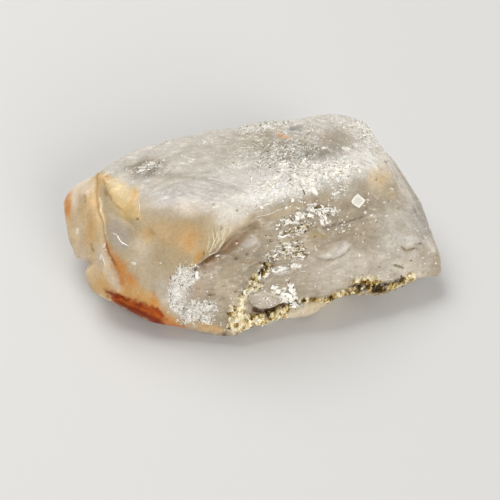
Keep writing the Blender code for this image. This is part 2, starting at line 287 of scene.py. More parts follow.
def neighbours_mean(points, edges):
    count = np.bincount(edges.ravel(), minlength=len(points))[:, None]
    total = np.zeros_like(points)
    for axis in range(3):
        total[:, axis] += np.bincount(edges[:, 0], points[edges[:, 1], axis], len(points))
        total[:, axis] += np.bincount(edges[:, 1], points[edges[:, 0], axis], len(points))
    return total / count


def placed(name, data):
    """A new object in the scene."""
    thing = bpy.data.objects.new(name, data)
    bpy.context.scene.collection.objects.link(thing)
    return thing


def new_piece(name, mesh, material):
    piece = placed(name, mesh)
    mesh.materials.append(material)
    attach(piece, BODY)
    return piece


def held_in(points):
    """The points kept inside the solid's box, and so off the floor."""
    return np.clip(points, LOW, HIGH)


def store(mesh, name, values):
    """Stores a number for each point, or a colour with 1 as its fourth number."""
    kind, field = "FLOAT", "value"
    if values.ndim == 2:
        kind, field = "FLOAT_COLOR", "color"
        values = np.concatenate([values, np.ones((len(values), 1))], axis=1)
    mesh.attributes.new(name, kind, "POINT").data.foreach_set(field, values.astype(np.float32).ravel())



def linear(shade):
    """A screen colour, 0 to 255, as the light that it stands for."""
    share = np.array(shade) / 255.0
    return np.where(share <= 0.04045, share / 12.92, ((share + 0.055) / 1.055) ** 2.4)


def laid(colour, share, shade):
    """The colours with so much of a shade laid over them at each point."""
    share = np.clip(share, 0.0, 1.0)[:, None]
    return colour * (1 - share) + shade * share


# ------------------------ the stone's surface


def working_surface():
    """The solid's surface with even, fine faces: in millimetres, finer in front, its facets smoothed."""
    stone = placed("work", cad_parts[NODE].data.copy())
    even = stone.modifiers.new("even", "REMESH")
    even.mode = "VOXEL"
    even.voxel_size = COARSE * MM
    graph = bpy.context.evaluated_depsgraph_get()
    mesh = bpy.data.meshes.new_from_object(stone.evaluated_get(graph))
    bpy.data.objects.remove(stone)
    solid = bmesh.new()
    solid.from_mesh(mesh)
    towards = Vector((0.0, -COSINE, SINE))
    seen = [face for face in solid.faces if face.normal.dot(towards) > -0.1]
    edges = list({edge for face in seen for edge in face.edges})
    bmesh.ops.subdivide_edges(solid, edges=edges, cuts=1, use_grid_fill=True)
    bmesh.ops.scale(solid, vec=(1 / MM,) * 3, verts=solid.verts)
    solid.to_mesh(mesh)
    solid.free()
    mesh.materials.clear()
    mesh.update()
    points, _, edges = read(mesh)
    foot = points[:, 2] < 0.05
    for _ in range(SMOOTHING_ROUNDS):
        for strength in SMOOTHING_STEPS:
            step = (neighbours_mean(points, edges) - points) * strength
            step[foot, 2] = 0.0
            points = points + step
    points[:, 2] = np.where(foot, 0.0, np.maximum(points[:, 2], 0.0))
    write(mesh, points)
    return mesh


# Where the crust grows besides the seam: (line, half width, strength).
CRUST_LINES = [(SEAM_FOOT, 1.2, 1), (BLOCK_TOP, 0.6, 1), (DARK_EDGE, 1.7, 1), (GOLD_EDGE, 0.9, 1)]
# Where it is darker, or lighter with a minus, in the same terms; along the plate's shadow, the seam's shade
# and the groove above the gold edge the darkening is painted shade.
CRUST_DARK = [
    (DARK_EDGE, 1.6, 2.6), (BLOCK_TOP, 0.9, 0.35), (GOLD_EDGE, 0.9, 0.7), (SEAM_DIRT, 0.8, 1.6),
    (SEAM_SHADE, 0.5, 1.4), (PLATE_SHADOW, 1.1, 1.6), (CRUST_CROWN, 0.7, -2.6),
    (GOLD_EDGE_GROOVE, 0.6, 2.4), (SEAM_FOOT, 1.4, -0.8), (GOLD_EDGE[2:], 0.8, -1.2), (SEAM[2:], 1.2, -1),
]
# Spots: (strength, across, up, half width, half height, turn).
SMOOTH_SPOTS = [(1, 23, 29.5, 4.4, 3, 0), (1, 28.5, 22, 4.5, 3, 0), (1, 20.5, 25.3, 5, 1, 6)]
SUGARY_SPOTS = [(0.7, -27.4, 21.4, 4.2, 1.5, 18), (0.4, 23, 15.2, 2.6, 1.8, 10)]
SUGARY_LINES = [(FROST_BAND, 1.6, 0.7), ([(-1.8, 32.2), (9.2, 33.4)], 1.3, 0.6)]


class Surface:
    """The zones of the stone, most of them as numbers from 0 to 1 at each point of its surface.

    Zones with soft or ragged edges are measured at places that noise has shifted a little.
    """

    def __init__(self, points, normals):
        self.points = points
        self.places = front_view(points)
        warp = np.stack([lumps(points, 5.0, 31), lumps(points, 5.0, 32)], axis=1)
        fine = np.stack([lumps(points, 1.6, 33), lumps(points, 1.6, 34)], axis=1)
        self.warped = self.places + 0.7 * warp + 0.3 * fine
        self.close = self.places + 0.2 * warp + 0.15 * fine
        self.ragged = self.places + 0.35 * warp + 0.6 * fine + 0.35 * lumps(points, 0.7, 38)[:, None]
        self.clump = lumps(points, 0.9, 61)
        towards = -normals[:, 1] * COSINE + normals[:, 2] * SINE
        self.front = smooth_step(towards * 3.0 + 1.1 + 0.4 * lumps(points, 6.0, 36))
        self.seen = smooth_step(towards * 5.0)
        self.foot = points[:, 2] < 0.02
        for name, places, outline, soft in (
            ("cap", self.places, CAP, 0.8),
            ("window", self.warped, WINDOW, 1.2),
            ("fan", self.warped, FAN, 2.6),
            ("top", self.warped, TOP, 4.0),
            ("face", self.places, FACE, 1.2),
            ("plate", self.places + 0.5 * fine, PLATE, 0.6),
        ):
            setattr(self, name, inside(places, outline, soft) * self.front)
        self.face = self.face * (1.0 - self.top)
        others = self.cap + self.window + self.fan + self.top + self.face
        self.dome = np.clip(self.front - others, 0.0, 1.0)
        self.hidden = 1.0 - self.front
        self.crust_dark = lines_sum(self.close, CRUST_DARK)
        self.crust = self.crusting()
        self.frost = self.frosting()

    def crusting(self):
        """Where the small golden crystals have grown."""
        uneven = np.clip(0.8 + 0.9 * lumps(self.points, 1.7, 39), 0.2, 1.4)
        crust = near(self.close, SEAM, 0.9) * uneven + lines_sum(self.close, CRUST_LINES)
        recess = near(self.close, PLATE_SHADOW, 0.6)
        return np.clip(crust, 0.0, 1.0) * self.seen * (1.0 - self.plate) * (1.0 - recess)

    def frosting(self):
        """Where the surface is sugary with tiny broken faces."""
        w = self.warped
        right = smooth_step((w[:, 0] + 10.0) / 30.0)
        patchy = 0.75 + 0.6 * lumps(self.points, 4.0, 35)
        sugary = np.clip(1.0 - spots_sum(w, SMOOTH_SPOTS), 0.0, 1.0)
        frost = self.top * (0.05 + 0.55 * right) * sugary * patchy
        frost += (lines_sum(w, SUGARY_LINES) + spots_sum(w, SUGARY_SPOTS)) * self.front
        frost += 0.06 * self.face + 0.5 * self.hidden * smooth_step(lumps(self.points, 7.0, 37) * 2.0)
        return np.clip(frost, 0.0, 1.0)


FAN_CORNER = (-40.5, 20.5)
VEIL_LINE = [(-32, 12), (-20, 17.5), (-2, 17)]
# Lines that the solid has only roughly: (line, half width, how far they stand out).
FINE_LINES = [
    (PLATE_SHADOW, 0.45, -0.9),
    (END_CRACK[:4], 0.35, 0.1),
    (END_CRACK[4:], 0.8, 0.16),
    (FURROW, 0.5, -0.25),
]
# The knob at the right end of the overhang's lip, and the left end's step and the bulge below it:
# (how far out, across, up, half width, half height, turn).
LIP_SPOTS = [(0.5, -1.4, 7.8, 2, 1.5, 45)]
LEFT_SPOTS = [(-0.9, -43.6, -3.8, 2.2, 1.4, 0), (0.6, -42.4, -8.2, 3, 4.2, -25)]


def scales(points):
    """Low scales, drawn out along the ridge."""
    along = drawn_out(points, 0.4)
    heights = 0.14 - 0.16 * np.abs(lumps(along, 4.5, 3)) - 0.10 * np.abs(lumps(along, 1.6, 5))
    return heights + facets(along, 3.6, 0.02, 7)


def shells(points):
    """Chips of three sizes, with soft furrows between the largest."""
    heights = sum(facets(points, *chip) for chip in ((11.0, 0.10, 27), (5.2, 0.07, 13), (2.0, 0.03, 15)))
    return heights - 0.10 * np.abs(lumps(points, (7.0, 7.0, 3.5), 28))


def ripples(points, places):
    """Fine rings on the fan, round its corner, and fine veils above the dome: two sets of heights."""
    rings = np.hypot(*(places - np.array(FAN_CORNER)).T)
    veils = beside(places, VEIL_LINE) + 0.8 * lumps(points, 5.0, 26)
    fan = 0.04 * np.sin(rings * 3.2 + lumps(points, 3.0, 25))
    return fan, 0.035 * np.sin(veils * 4.2) * spot(places, -18.0, 17.5, 14.0, 6.0)


def lip_hollow(places):
    """How deep the hollow close below the overhang's lip is."""
    side = beside(places, OVERHANG)
    depth = 0.55 * smooth_step(side / 0.9) * np.exp(-((side / 2.6) ** 2)) * (side > 0)
    return depth * near(places, OVERHANG, 3.0)


def relief(zone):
    """How far the fine relief stands out at each point."""
    p, w = zone.points, zone.places
    sugar = sum(facets(p, *faces) for faces in SUGAR)
    out = 0.05 * lumps(p, 3.0, 19)
    out += scales(p) * zone.face + 0.8 * sugar * zone.frost + shells(p) * (zone.hidden + 0.35 * zone.top)
    out += (0.05 * lumps(p, (0.9, 6.0, 6.0), 17) + 0.12 * lumps(p, 3.5, 18)) * zone.cap
    out += 0.10 * lumps(p, 7.0, 23) * zone.dome
    rings, veils = ripples(p, w)
    out += rings * zone.fan + 0.35 * zone.plate
    out += (veils - lip_hollow(w) + lines_sum(w, FINE_LINES) + spots_sum(w, LIP_SPOTS)) * zone.front
    out += spots_sum(w, LEFT_SPOTS) * smooth_step((-w[:, 0] - 36.0) / 4.0)
    # The crust is rough with tiny crystals.
    out += (0.20 + 0.6 * facets(p, 0.9, 0.5, 57)) * zone.crust
    return out


# ------------------------ colours, as they look on a screen

SNOW = (252, 249, 242)
MILK = (226, 218, 205)
LAVENDER = (209, 201, 194)
PEBBLE = (198, 187, 168)
BEIGE = (186, 168, 140)
CREAM = (230, 208, 170)
TAN = (208, 166, 108)
OCHRE = (192, 140, 70)
ORANGE = (214, 146, 78)
RUST = (150, 48, 0)
DEEP_RUST = (112, 34, 0)
ASH = (166, 158, 145)
SMOKE = (142, 131, 115)
UMBER = (80, 50, 10)
OLIVE = (112, 92, 34)

ZONE_COLOURS = {
    "hidden": (226, 217, 202),
    "dome": (196, 176, 142),
    "cap": (220, 193, 152),
    "window": (199, 184, 164),
    "fan": (236, 205, 148),
    "top": MILK,
    "face": (178, 163, 139),
}
# Stained areas on the front with edges of their own, one of them partly painted highlight: (outline,
# softness, colour, strength).
PATCHES = [
    # The milky lens beside the end crack and the orange wedge on its other side.
    ([(-41, 1), (-38.8, 1.6), (-37.4, -2), (-35.4, -6), (-33.4, -10.2), (-36, -10.6), (-39, -7),
      (-40.6, -3)], 2.6, (222, 208, 190), 0.6),
    ([(-37.9, 1.6), (-36.6, 0), (-33.4, -3.4), (-30.8, -6.9), (-30, -9.2), (-31.8, -10.6), (-33.6, -9.2),
      (-34.8, -6.2), (-36.2, -3.2)], 3.2, (216, 152, 84), 1),
    # The rust along the lower edge, its bright upper fringe and its dark lower one.
    ([(-38.6, -10.4), (-34.8, -11.6), (-30, -12.6), (-26.8, -13.6), (-25.6, -11.8), (-24.4, -14.6),
      (-21.4, -16.6), (-19.4, -19), (-24, -19.6), (-38, -12.8)], 2.8, (218, 156, 82), 0.9),
    ([(-38.4, -10.6), (-34.8, -11.8), (-31.7, -13.2), (-28.5, -14.3), (-26.2, -15.2), (-24.6, -15.2),
      (-22.8, -17.2), (-22, -19), (-23.2, -20.2), (-25.4, -19.4), (-28.7, -17.6), (-33, -15.5),
      (-36.8, -13.3)], 1.4, RUST, 1.25),
    ([(-29.2, -14.8), (-25.6, -15.4), (-23.6, -17.2), (-22, -18.8), (-25.6, -18.2)],
     1.2, (200, 98, 20), 0.9),
    ([(-35.6, -12.4), (-32.6, -12.9), (-29.4, -14.2), (-32.4, -14.4)], 0.8, (190, 96, 24), 0.7),
    # The fan's folded corner.
    ([(-39.2, 19.4), (-35.6, 18.6), (-30.6, 16.6), (-29.6, 13.8), (-32, 12.4), (-36, 15.4)],
     1.4, (249, 225, 178), 0.8),
    ([(-31.6, 15.6), (-29.4, 16.8), (-29.6, 13.2), (-31.4, 12.6)], 2.2, (238, 196, 130), 0.9),
    ([(-37.6, 10.4), (-30.6, 6.4), (-30.4, 5.2), (-37.2, 8.8)], 0.8, CREAM, 0.6),
    # Milky patches under the overhang, and the crescent, the oval and the honey spot on the face.
    ([(-2.6, 3.8), (-1, 4.6), (1.6, 3.8), (2.2, 1.6), (-0.6, 0.6), (-2.4, 1.2)],
     1, (222, 214, 205), 0.85),
    ([(6, -4.2), (10.8, -3.9), (10.2, -6.2), (8, -6.8), (6.2, -6)], 1, (222, 216, 208), 0.85),
    ([(18.6, -1.8), (22.2, -2.4), (25.4, -1), (26.6, 1.4), (25.2, 2.4), (21.6, 1)],
     2.2, (222, 214, 202), 0.6),
    ([(22.6, -0.6), (25.2, -0.6), (26.4, 1.4), (25.4, 2)], 1.2, (238, 232, 224), 0.7),
    ([(40.8, 3.8), (44.2, 3.8), (44.4, 1.8), (41.6, 1.2)], 1, (232, 226, 216), 0.85),
    ([(15.2, 4), (18.4, 4.7), (20.4, 4.2), (19.4, 3.2), (15.6, 3.2)], 0.6, (196, 172, 126), 0.7),
    # The white on the ridge's right part, partly painted highlight.
    ([(14.8, 22.2), (24.4, 23.4), (26.6, 22), (24.4, 20.4), (15, 19.4)], 1.8, SNOW, 0.6),
]
# Oval stains on the front, one of them partly painted sheen: (across, up, half width, half height, turn,
# colour, strength).
STAINS = [
    # Above the ridge and the dome.
    # The pale lavender over the dome's top is partly the quartz's own tone and partly painted sheen.
    (-15, 14, 13, 4.2, 6, LAVENDER, 0.9),
    (-10, 25, 13, 5, 8, (208, 199, 184), 0.8),
    (6, 29, 11, 4.5, 4, (184, 172, 150), 0.9),
    (8.6, 25.9, 7.6, 2.6, 5, (162, 152, 134), 0.8),
    (-2, 19.4, 6, 3.4, 12, (236, 228, 220), 0.7),
    (1, 24.4, 4, 1.8, 0, (222, 213, 202), 0.6),
    (-22, 19.4, 6, 0.9, -4, (184, 174, 158), 0.7),
    (24, 15.8, 7, 2.4, 12, (206, 196, 178), 0.6),
    (17.5, 25.4, 10, 2.6, 6, (152, 142, 126), 0.8),
    (22.4, 29.2, 5.6, 3.4, 0, (188, 171, 147), 0.7),
    (-27.6, 21.8, 5.2, 2.6, 14, (152, 134, 106), 0.9),
    (-20, 18.6, 8, 1.6, 12, PEBBLE, 0.5),
    (8.8, 30.1, 1.7, 0.5, -12, (224, 164, 112), 0.9),
    (11.6, 31.8, 2.2, 1.3, 0, (156, 154, 150), 0.8),
    (28.6, 22.2, 4.6, 3.2, 15, (228, 220, 212), 0.9),
    (34, 19.6, 3.2, 5, -14, (232, 212, 180), 0.9),
    (34.2, 18.8, 2.2, 2, -10, (228, 198, 150), 0.7),
    (37, 14.6, 1.6, 1.6, 0, (214, 186, 146), 0.6),
    # The fan and the cap on the left.
    (-31.4, 10.2, 2.4, 2.6, 0, (210, 178, 116), 0.8),
    (-38.6, 18.8, 1.8, 1.6, 0, (226, 176, 104), 0.9),
    (-40.4, 18.8, 0.6, 1.3, 12, (150, 78, 20), 1.1),
    (-48.2, 11.6, 1.1, 3.4, 0, (220, 150, 84), 1),
    (-43.8, 16.6, 3.6, 2.4, 30, (240, 222, 196), 0.8),
    (-46, 13, 1.2, 3.4, 6, (238, 218, 190), 0.8),
    (-44.2, 11.6, 1.2, 4, 6, (206, 176, 134), 0.6),
    (-42.4, 4.8, 1.8, 4.4, -8, (214, 172, 110), 0.75),
    (-41.6, 12.6, 1.2, 2.4, 0, (222, 182, 118), 0.6),
    (-43.8, 9.6, 1.8, 2.6, 0, (204, 172, 122), 0.7),
    (-45.4, 3.4, 2, 4.4, -8, (228, 206, 172), 0.8),
    (-44.4, -2.2, 2, 3, -15, (232, 212, 184), 0.7),
    (-38.8, -9, 2.8, 2.6, 0, (214, 170, 106), 0.8),
    (-41.2, -5.4, 1.9, 4.4, -14, (228, 200, 156), 0.75),
    # The dome.
    (-27.4, 3.2, 1.8, 2.4, 0, (210, 166, 96), 0.8),
    (-20.5, 4.2, 7, 3.6, 0, (216, 180, 128), 0.5),
    (-16, 2.4, 4.2, 3.8, -20, (224, 186, 134), 0.85),
    (-15.4, 3, 1.6, 2.6, -20, (214, 164, 96), 0.5),
    (-13.3, -2.1, 1.2, 2, -34, (212, 164, 88), 1),
    (-29.2, -0.4, 3.4, 4.6, -10, (220, 206, 182), 0.7),
    (-16.4, 11, 4, 2.6, 0, (238, 224, 204), 0.7),
    (-8, 4.6, 1.8, 3, -30, (238, 222, 192), 0.8),
    (-26.2, -8.8, 5.6, 5, 0, (208, 190, 162), 0.8),
    (-22.2, -10.8, 3, 4, 0, (216, 204, 188), 0.7),
    (-31.8, -10.2, 2, 2.4, 14, (222, 172, 100), 0.85),
    (-28.4, -12.6, 3.6, 1.7, -22, (222, 176, 108), 0.85),
    (-25.4, -14, 1, 1.5, 10, (224, 164, 88), 0.7),
    (-2.6, 9.6, 2.2, 3.4, -36, (228, 219, 207), 0.85),
    # Below the overhang.
    (-18, -10.6, 2.6, 6, -14, (220, 211, 202), 0.95),
    (-14.6, -16.2, 4.4, 2.2, 0, (224, 214, 204), 0.85),
    (-13.4, -10.8, 2.4, 3, 0, (206, 186, 162), 0.9),
    (-6.4, -11.4, 3.6, 6.4, 0, (192, 175, 148), 0.9),
    (13.2, -16.3, 6, 1.5, 12, (232, 216, 186), 0.9),
    (-11.4, -20.4, 5.4, 1.5, -12, (234, 194, 140), 0.9),
    (28, -5, 14, 5, 8, (204, 194, 178), 0.8),
    (40, 4, 7, 9, -20, (213, 205, 192), 0.9),
    (-4, -5.2, 4, 2.6, 20, (200, 184, 156), 0.6),
    (43.4, -5, 5, 3.4, 10, (220, 209, 190), 0.9),
    (14, 2.8, 6, 2.6, 10, (184, 162, 128), 0.5),
    (21.5, -14, 6, 2.2, 12, CREAM, 0.7),
]
# Lines of painted shade beside the bright lines on the overhang's lip.
LIP_SHADE_LINES = [
    [(-9.5, 5.8), (-9.2, 1.8), (-11.2, -1.6)],
    [(-7.8, 6.4), (-7.6, 3), (-9.6, 0)],
    [(-5.8, 5.6), (-6.8, 2.4), (-8.6, -0.6)],
]
# Stained lines on the front, and lines of painted highlight and painted shade: (line, half width, colour,
# strength).
STREAKS = [
    # Along the ridge: its milky band, partly the quartz's own white and partly painted highlight, and its
    # brightest spots, which are painted highlights.
    (RIDGE[1:], 3.2, MILK, 0.9),
    (RIDGE[2:], 2.4, (243, 239, 231), 0.8),
    ([(-12.4, 18.8), (-7, 17.3), (-2.5, 15.8)], 0.5, (184, 174, 160), 0.8),
    ([(3.9, 16), (6.4, 18.4)], 1.7, SNOW, 1.6),
    ([(8.4, 21.4), (9.6, 21.8)], 0.8, SNOW, 1.4),
    ([(13.2, 19), (16.2, 16.6)], 1.1, SNOW, 1.4),
    ([(20, 21.4), (24.6, 21.8)], 1.5, SNOW, 1.2),
    # The shade under the overhang, darkest in its corner.
    ([(1.8, 6.6), (-1.6, 4.2), (-5, 1.2)], 1.9, (164, 140, 110), 0.9),
    ([(-5, 1.4), (-8.4, -1.4), (-11.6, -3.8)], 1.8, (132, 98, 58), 0.95),
    *((line, 0.22, (158, 136, 96), 0.7) for line in LIP_SHADE_LINES),
    ([(-8, -0.6), (-12, -3.4), (-14.6, -5)], 0.6, (96, 62, 26), 1.1),
    ([(1.4, 8.4), (10, 10.6), (20, 13.4)], 1.4, BEIGE, 0.8),
    (END_CRACK[:4], 1.2, (214, 176, 116), 0.7),
    ([(-39.6, 13.4), (-38.9, 9.4), (-38.2, 4.6)], 0.35, (240, 222, 184), 0.8),
    (END_CRACK[:6], 0.22, (162, 124, 70), 0.8),
    ([(-37.9, 1.4), (-37.2, -0.3), (-36.4, -2.1), (-35.4, -4)], 0.34, (164, 96, 44), 1),
    ([(-35.4, -4), (-34.4, -6.4), (-33.6, -8.8)], 0.45, (198, 126, 60), 0.7),
    # Dark threads in the rust, and the pale rim below it.
    ([(-37.6, -11), (-36, -11.9), (-34.6, -12.9)], 0.3, DEEP_RUST, 1),
    ([(-35.6, -11.6), (-33.4, -12.6), (-31.6, -14)], 0.25, DEEP_RUST, 0.9),
    ([(-34.6, -13.6), (-31.4, -15.2), (-28.6, -16.4)], 0.35, DEEP_RUST, 0.8),
    ([(-29.6, -16.2), (-26, -18), (-22.6, -19.8)], 0.8, DEEP_RUST, 0.9),
    ([(-30, -14.4), (-27.4, -15.4), (-25.6, -16.6)], 0.25, (140, 56, 4), 0.8),
    ([(-22.6, -18.6), (-20.6, -19.8), (-17.6, -20.6)], 0.8, (190, 124, 68), 1),
    ([(-33.6, -14.6), (-29.2, -16.8), (-26.4, -18.4)], 0.5, (128, 46, 0), 0.9),
    ([(-36, -13), (-33.6, -13.4), (-31, -14.6)], 0.22, (182, 92, 24), 0.6),
    ([(-32, -13.6), (-29.4, -15.4), (-27.8, -16)], 0.22, (186, 92, 22), 0.7),
    ([(-25.8, -14.8), (-25, -16.4), (-23, -17.6)], 0.25, (150, 62, 6), 0.8),
    ([(-39.6, -12.2), (-36.2, -14.4), (-32.6, -16.2), (-27.4, -18.8)], 0.4, (232, 200, 150), 0.9),
    ([(-47.6, 16.6), (-41.6, 20.4)], 0.8, MILK, 0.8),
    ([(-44.9, 14.6), (-44.6, 12.4)], 0.35, BEIGE, 0.8),
    ([(-43.6, 14.4), (-43.4, 12.6)], 0.35, (170, 140, 92), 0.8),
    ([(-42, 1.6), (-41.4, 0)], 0.4, (160, 138, 96), 0.8),
    ([(-39, -6), (-37.4, -9.6)], 0.4, TAN, 0.7),
    ([(-38.7, 18.3), (-37.9, 15.8), (-36.9, 13.8), (-35.8, 12.2), (-34.4, 11), (-33.4, 10.7)],
     0.24, (170, 136, 74), 0.8),
    ([(-37.9, 18.1), (-34.2, 17.1), (-31.2, 15.3)], 0.35, (250, 230, 190), 0.4),
    ([(-38.4, 15.8), (-37.9, 14.6)], 0.4, (156, 116, 56), 0.7),
    ([(-26.3, 5.2), (-25.3, 4)], 0.4, (168, 140, 96), 0.7),
    ([(-23, 2), (-22.8, 0)], 0.5, (176, 152, 114), 0.5),
    # Painted shade in the furrow.
    (FURROW, 0.45, (140, 124, 104), 0.9),
    ([(-2.4, -3.2), (2.4, -4), (6.2, -4)], 0.3, (150, 118, 74), 0.9),
    ([(2.6, -3.4), (5.8, -4.2)], 0.35, UMBER, 0.9),
    ([(-10.8, -11.8), (-9.4, -11.7)], 0.3, OLIVE, 0.9),
    (PLATE_SHADOW, 0.7, (126, 86, 34), 1),
    (PLATE_SHADOW[:4], 0.35, (70, 36, 0), 1.4),
    ([(17.9, -2.1), (20, -2.6), (22.2, -2.5), (24.4, -1.7), (26.3, 0.2)], 0.26, SMOKE, 0.9),
    ([(40, 0.7), (41.1, -0.2), (43.8, 0.4)], 0.3, OLIVE, 1.1),
    ([(38.2, -4), (40.4, -4.8)], 0.36, (100, 84, 46), 1.1),
    ([(39.6, 18.6), (43.6, 12.6), (46.2, 8.4), (47, 5.2)], 0.8, (150, 144, 134), 0.8),
    (BEVEL, 1.2, (216, 208, 196), 0.7),
    ([(43.6, 10.4), (46.6, 4.2)], 1.6, (164, 156, 146), 0.8),
]
# Small pits on the front, shown only as painted shade, a dark spot each: (across, up, half size).
PIT_SHADES = [
    (-29.7, 8.2, 0.4), (-6.8, -22.4, 0.9), (-0.8, -1.1, 0.5), (-3.7, -2.3, 0.5), (3.4, -3.8, 0.4),
    (9.4, 5, 0.7), (14.6, 6.2, 0.9), (12.6, 5.8, 0.6), (17.1, 3.5, 0.35), (19.2, 3.9, 0.3),
    (42.5, -2.8, 0.35), (34.2, -4.5, 0.3), (42.9, -6.6, 0.6), (44.9, 1.7, 0.4), (-9.6, 12, 0.4),
    (-3.4, 10.4, 0.35), (36, 23.3, 0.5), (33.3, 18.6, 0.28), (-3.9, -11, 0.4), (26.1, -9.8, 0.35),
    (29, 4, 0.3), (-36.4, -2.6, 0.3), (-46.6, -1.6, 0.35),
]
CLEAN_EDGE = 1.0  # patches softer than this have ragged edges
STONE_SHADE = 0.87  # the clean stone is this much darker than crushed, snowy quartz
CRUST_SHADES = linear([(250, 240, 210), (215, 188, 120), (146, 114, 42), (66, 48, 10)])
# Fine hairs on the front: (slant, seed, zone, strength, colour).
HAIRS = [
    (-16, 62, "top", 0.35, SMOKE),
    (-24, 64, "top", 0.5, SNOW),
    (22, 66, "face", 0.45, MILK),
    (14, 68, "face", 0.3, SMOKE),
]


def crust_shade(at):
    """The crust's colour, from 0 for nearly white crystals to 3 for the black of dirt and the deepest
    painted shade.
    """
    return np.stack([np.interp(at, range(4), CRUST_SHADES[:, channel]) for channel in range(3)], axis=1)


class Paint:
    """The stone's colour at each point, laid on in coats."""

    def __init__(self, zone):
        self.zone = zone
        self.colour = np.zeros((len(zone.points), 3))
        total = np.zeros((len(zone.points), 1))
        for name, shade in ZONE_COLOURS.items():
            share = getattr(zone, name)[:, None]
            self.colour += share * linear(shade)
            total += share
        self.colour /= np.maximum(total, 1e-6)
        self.cloud = 1.0 + 0.40 * lumps(zone.points, 2.4, 41) + 0.22 * lumps(zone.points, 0.8, 42)

    def lay(self, share, shade):
        self.colour = laid(self.colour, share, linear(shade))

    def lay_on_front(self, share, shade):
        """Lays a shade on the front only, a little cloudy."""
        self.lay(share * self.zone.front * self.cloud, shade)


# Stains on the front, with painted highlights on the ridge and painted shade under the overhang, in the
# furrow and in small pits.
def stains_and_painted_light(paint, zone):
    for *oval, shade, strength in STAINS:
        paint.lay_on_front(spot(zone.warped, *oval) * strength, shade)
    for outline, soft, shade, strength in PATCHES:
        edge = zone.ragged if soft > CLEAN_EDGE else zone.close
        paint.lay_on_front(inside(edge, outline, soft) * strength, shade)
    paint.colour *= STONE_SHADE
    for line, half_width, shade, strength in STREAKS:
        paint.lay_on_front(near(zone.close, line, half_width) * strength, shade)
    # Painted shade in the small pits.
    for across, up, half in PIT_SHADES:
        paint.lay(0.9 * spot(zone.places, across, up, half, half * 0.7) * zone.front, UMBER)
    paint.lay(0.35 * zone.plate, MILK)


def painted_sugar_glints(paint, zone):
    """On the sugary parts, some tiny broken faces get a painted highlight and some painted shade, each by
    chance.
    """
    for size, _, seed in SUGAR:
        numbers, _ = chips(zone.points, size, seed)
        catch = numbers[:, 1] + 0.25 * lumps(zone.points, 3.0, 47)
        paint.lay(0.50 * zone.frost * smooth_step((catch - 0.70) * 6.0), SNOW)
        paint.lay(0.22 * zone.frost * smooth_step((0.28 - catch) * 6.0), SMOKE)


def whitened(paint, zone):
    """Large flakes lie on whitened ground, with painted shade and some dirt in the gaps between them,
    browner among the golden ones.
    """
    for line, half_width, _, _, golden, darkening, _, _ in LARGE_CLUSTERS:
        share = near(zone.close, line, half_width * 1.1) * zone.front
        paint.lay(0.55 * share * smooth_step(zone.clump * 3.0 + 0.5), SNOW if golden < 0.3 else CREAM)
        painted_gap_shade = (104, 78, 30) if golden > 0.25 else (126, 112, 88)
        paint.lay((0.4 + 1.2 * darkening) * share * smooth_step(-zone.clump * 5.0 - 0.5), painted_gap_shade)


def crusted(paint, zone):
    """The crust runs from nearly white crystals to black dirt within a millimetre, and is darker where
    crust_dark says, in places as painted shade.
    """
    grit = 1.3 + 2.6 * lumps(zone.points, 0.8, 52) + 1.4 * lumps(zone.points, 1.9, 53) + zone.crust_dark
    paint.colour = laid(paint.colour, smooth_step(zone.crust * 1.6), crust_shade(grit))


def veined(paint, zone):
    """Hairs, streaks along the ridge, upright bands on the cap and a fine grain."""
    p = zone.points
    for slant, seed, name, strength, shade in HAIRS:
        paint.lay(strength * hairs(p, slant, seed) * getattr(zone, name), shade)
    along, upright = drawn_out(p, 0.14), p * (1.0, 0.15, 0.15)
    streaks = 0.07 * lumps(along, 1.3, 48) + 0.08 * lumps(along, 0.5, 49)
    bands, grain = 0.06 * lumps(upright, 1.1, 50), 0.05 * lumps(p, 0.6, 51)
    paint.colour *= 1.0 + (streaks * (zone.face + 0.8 * zone.top) + bands * zone.cap + grain)[:, None]


def weathered(paint, zone):
    """The stains guessed for the back and the sides, more of them towards the left end."""
    p = zone.points
    near_left = smooth_step((-p[:, 0] - 8.0) / 30.0)
    left_end = smooth_step((-p[:, 0] - 30.0) / 12.0 + 0.5 * lumps(p, 6.0, 58))
    rust = smooth_step(lumps(p, 9.0, 43) * 1.4 + 0.5 * lumps(p, 2.5, 44) - 0.45)
    threads = np.exp(-((lumps(p, 9.0, 59) + 0.3 * lumps(p, 2.0, 60)) / 0.035) ** 2)
    for share, strength, shade in (
        (left_end, 0.7, (200, 174, 134)),
        (smooth_step(lumps(p, 8.0, 45) * 1.8 - 0.1), 0.7, (232, 226, 216)),
        (smooth_step(lumps(p, (9.0, 4.0, 4.0), 46) * 1.8 - 0.5), 0.4, ASH),
        (rust, 0.10 + 0.75 * near_left, ORANGE),
        (threads, 0.25 + 0.5 * near_left, OCHRE),
    ):
        paint.lay(share * zone.hidden * strength, shade)


def tint(zone):
    """The stone's colour at each point."""
    paint = Paint(zone)
    for coat in (stains_and_painted_light, painted_sugar_glints, whitened, crusted, veined, weathered):
        coat(paint, zone)
    return paint.colour


def hairs(points, slant, seed):
    """1 on fine broken lines that are drawn out along a level direction, so many degrees from across."""
    along, aside = turned(points[:, 0], points[:, 1], slant)
    lines = np.exp(-((lumps(np.stack([along * 0.25, aside, points[:, 2]], axis=1), 1.3, seed) / 0.08) ** 2))
    return lines * smooth_step(lumps(points, 2.0, seed + 1) * 2.0 + 0.4)


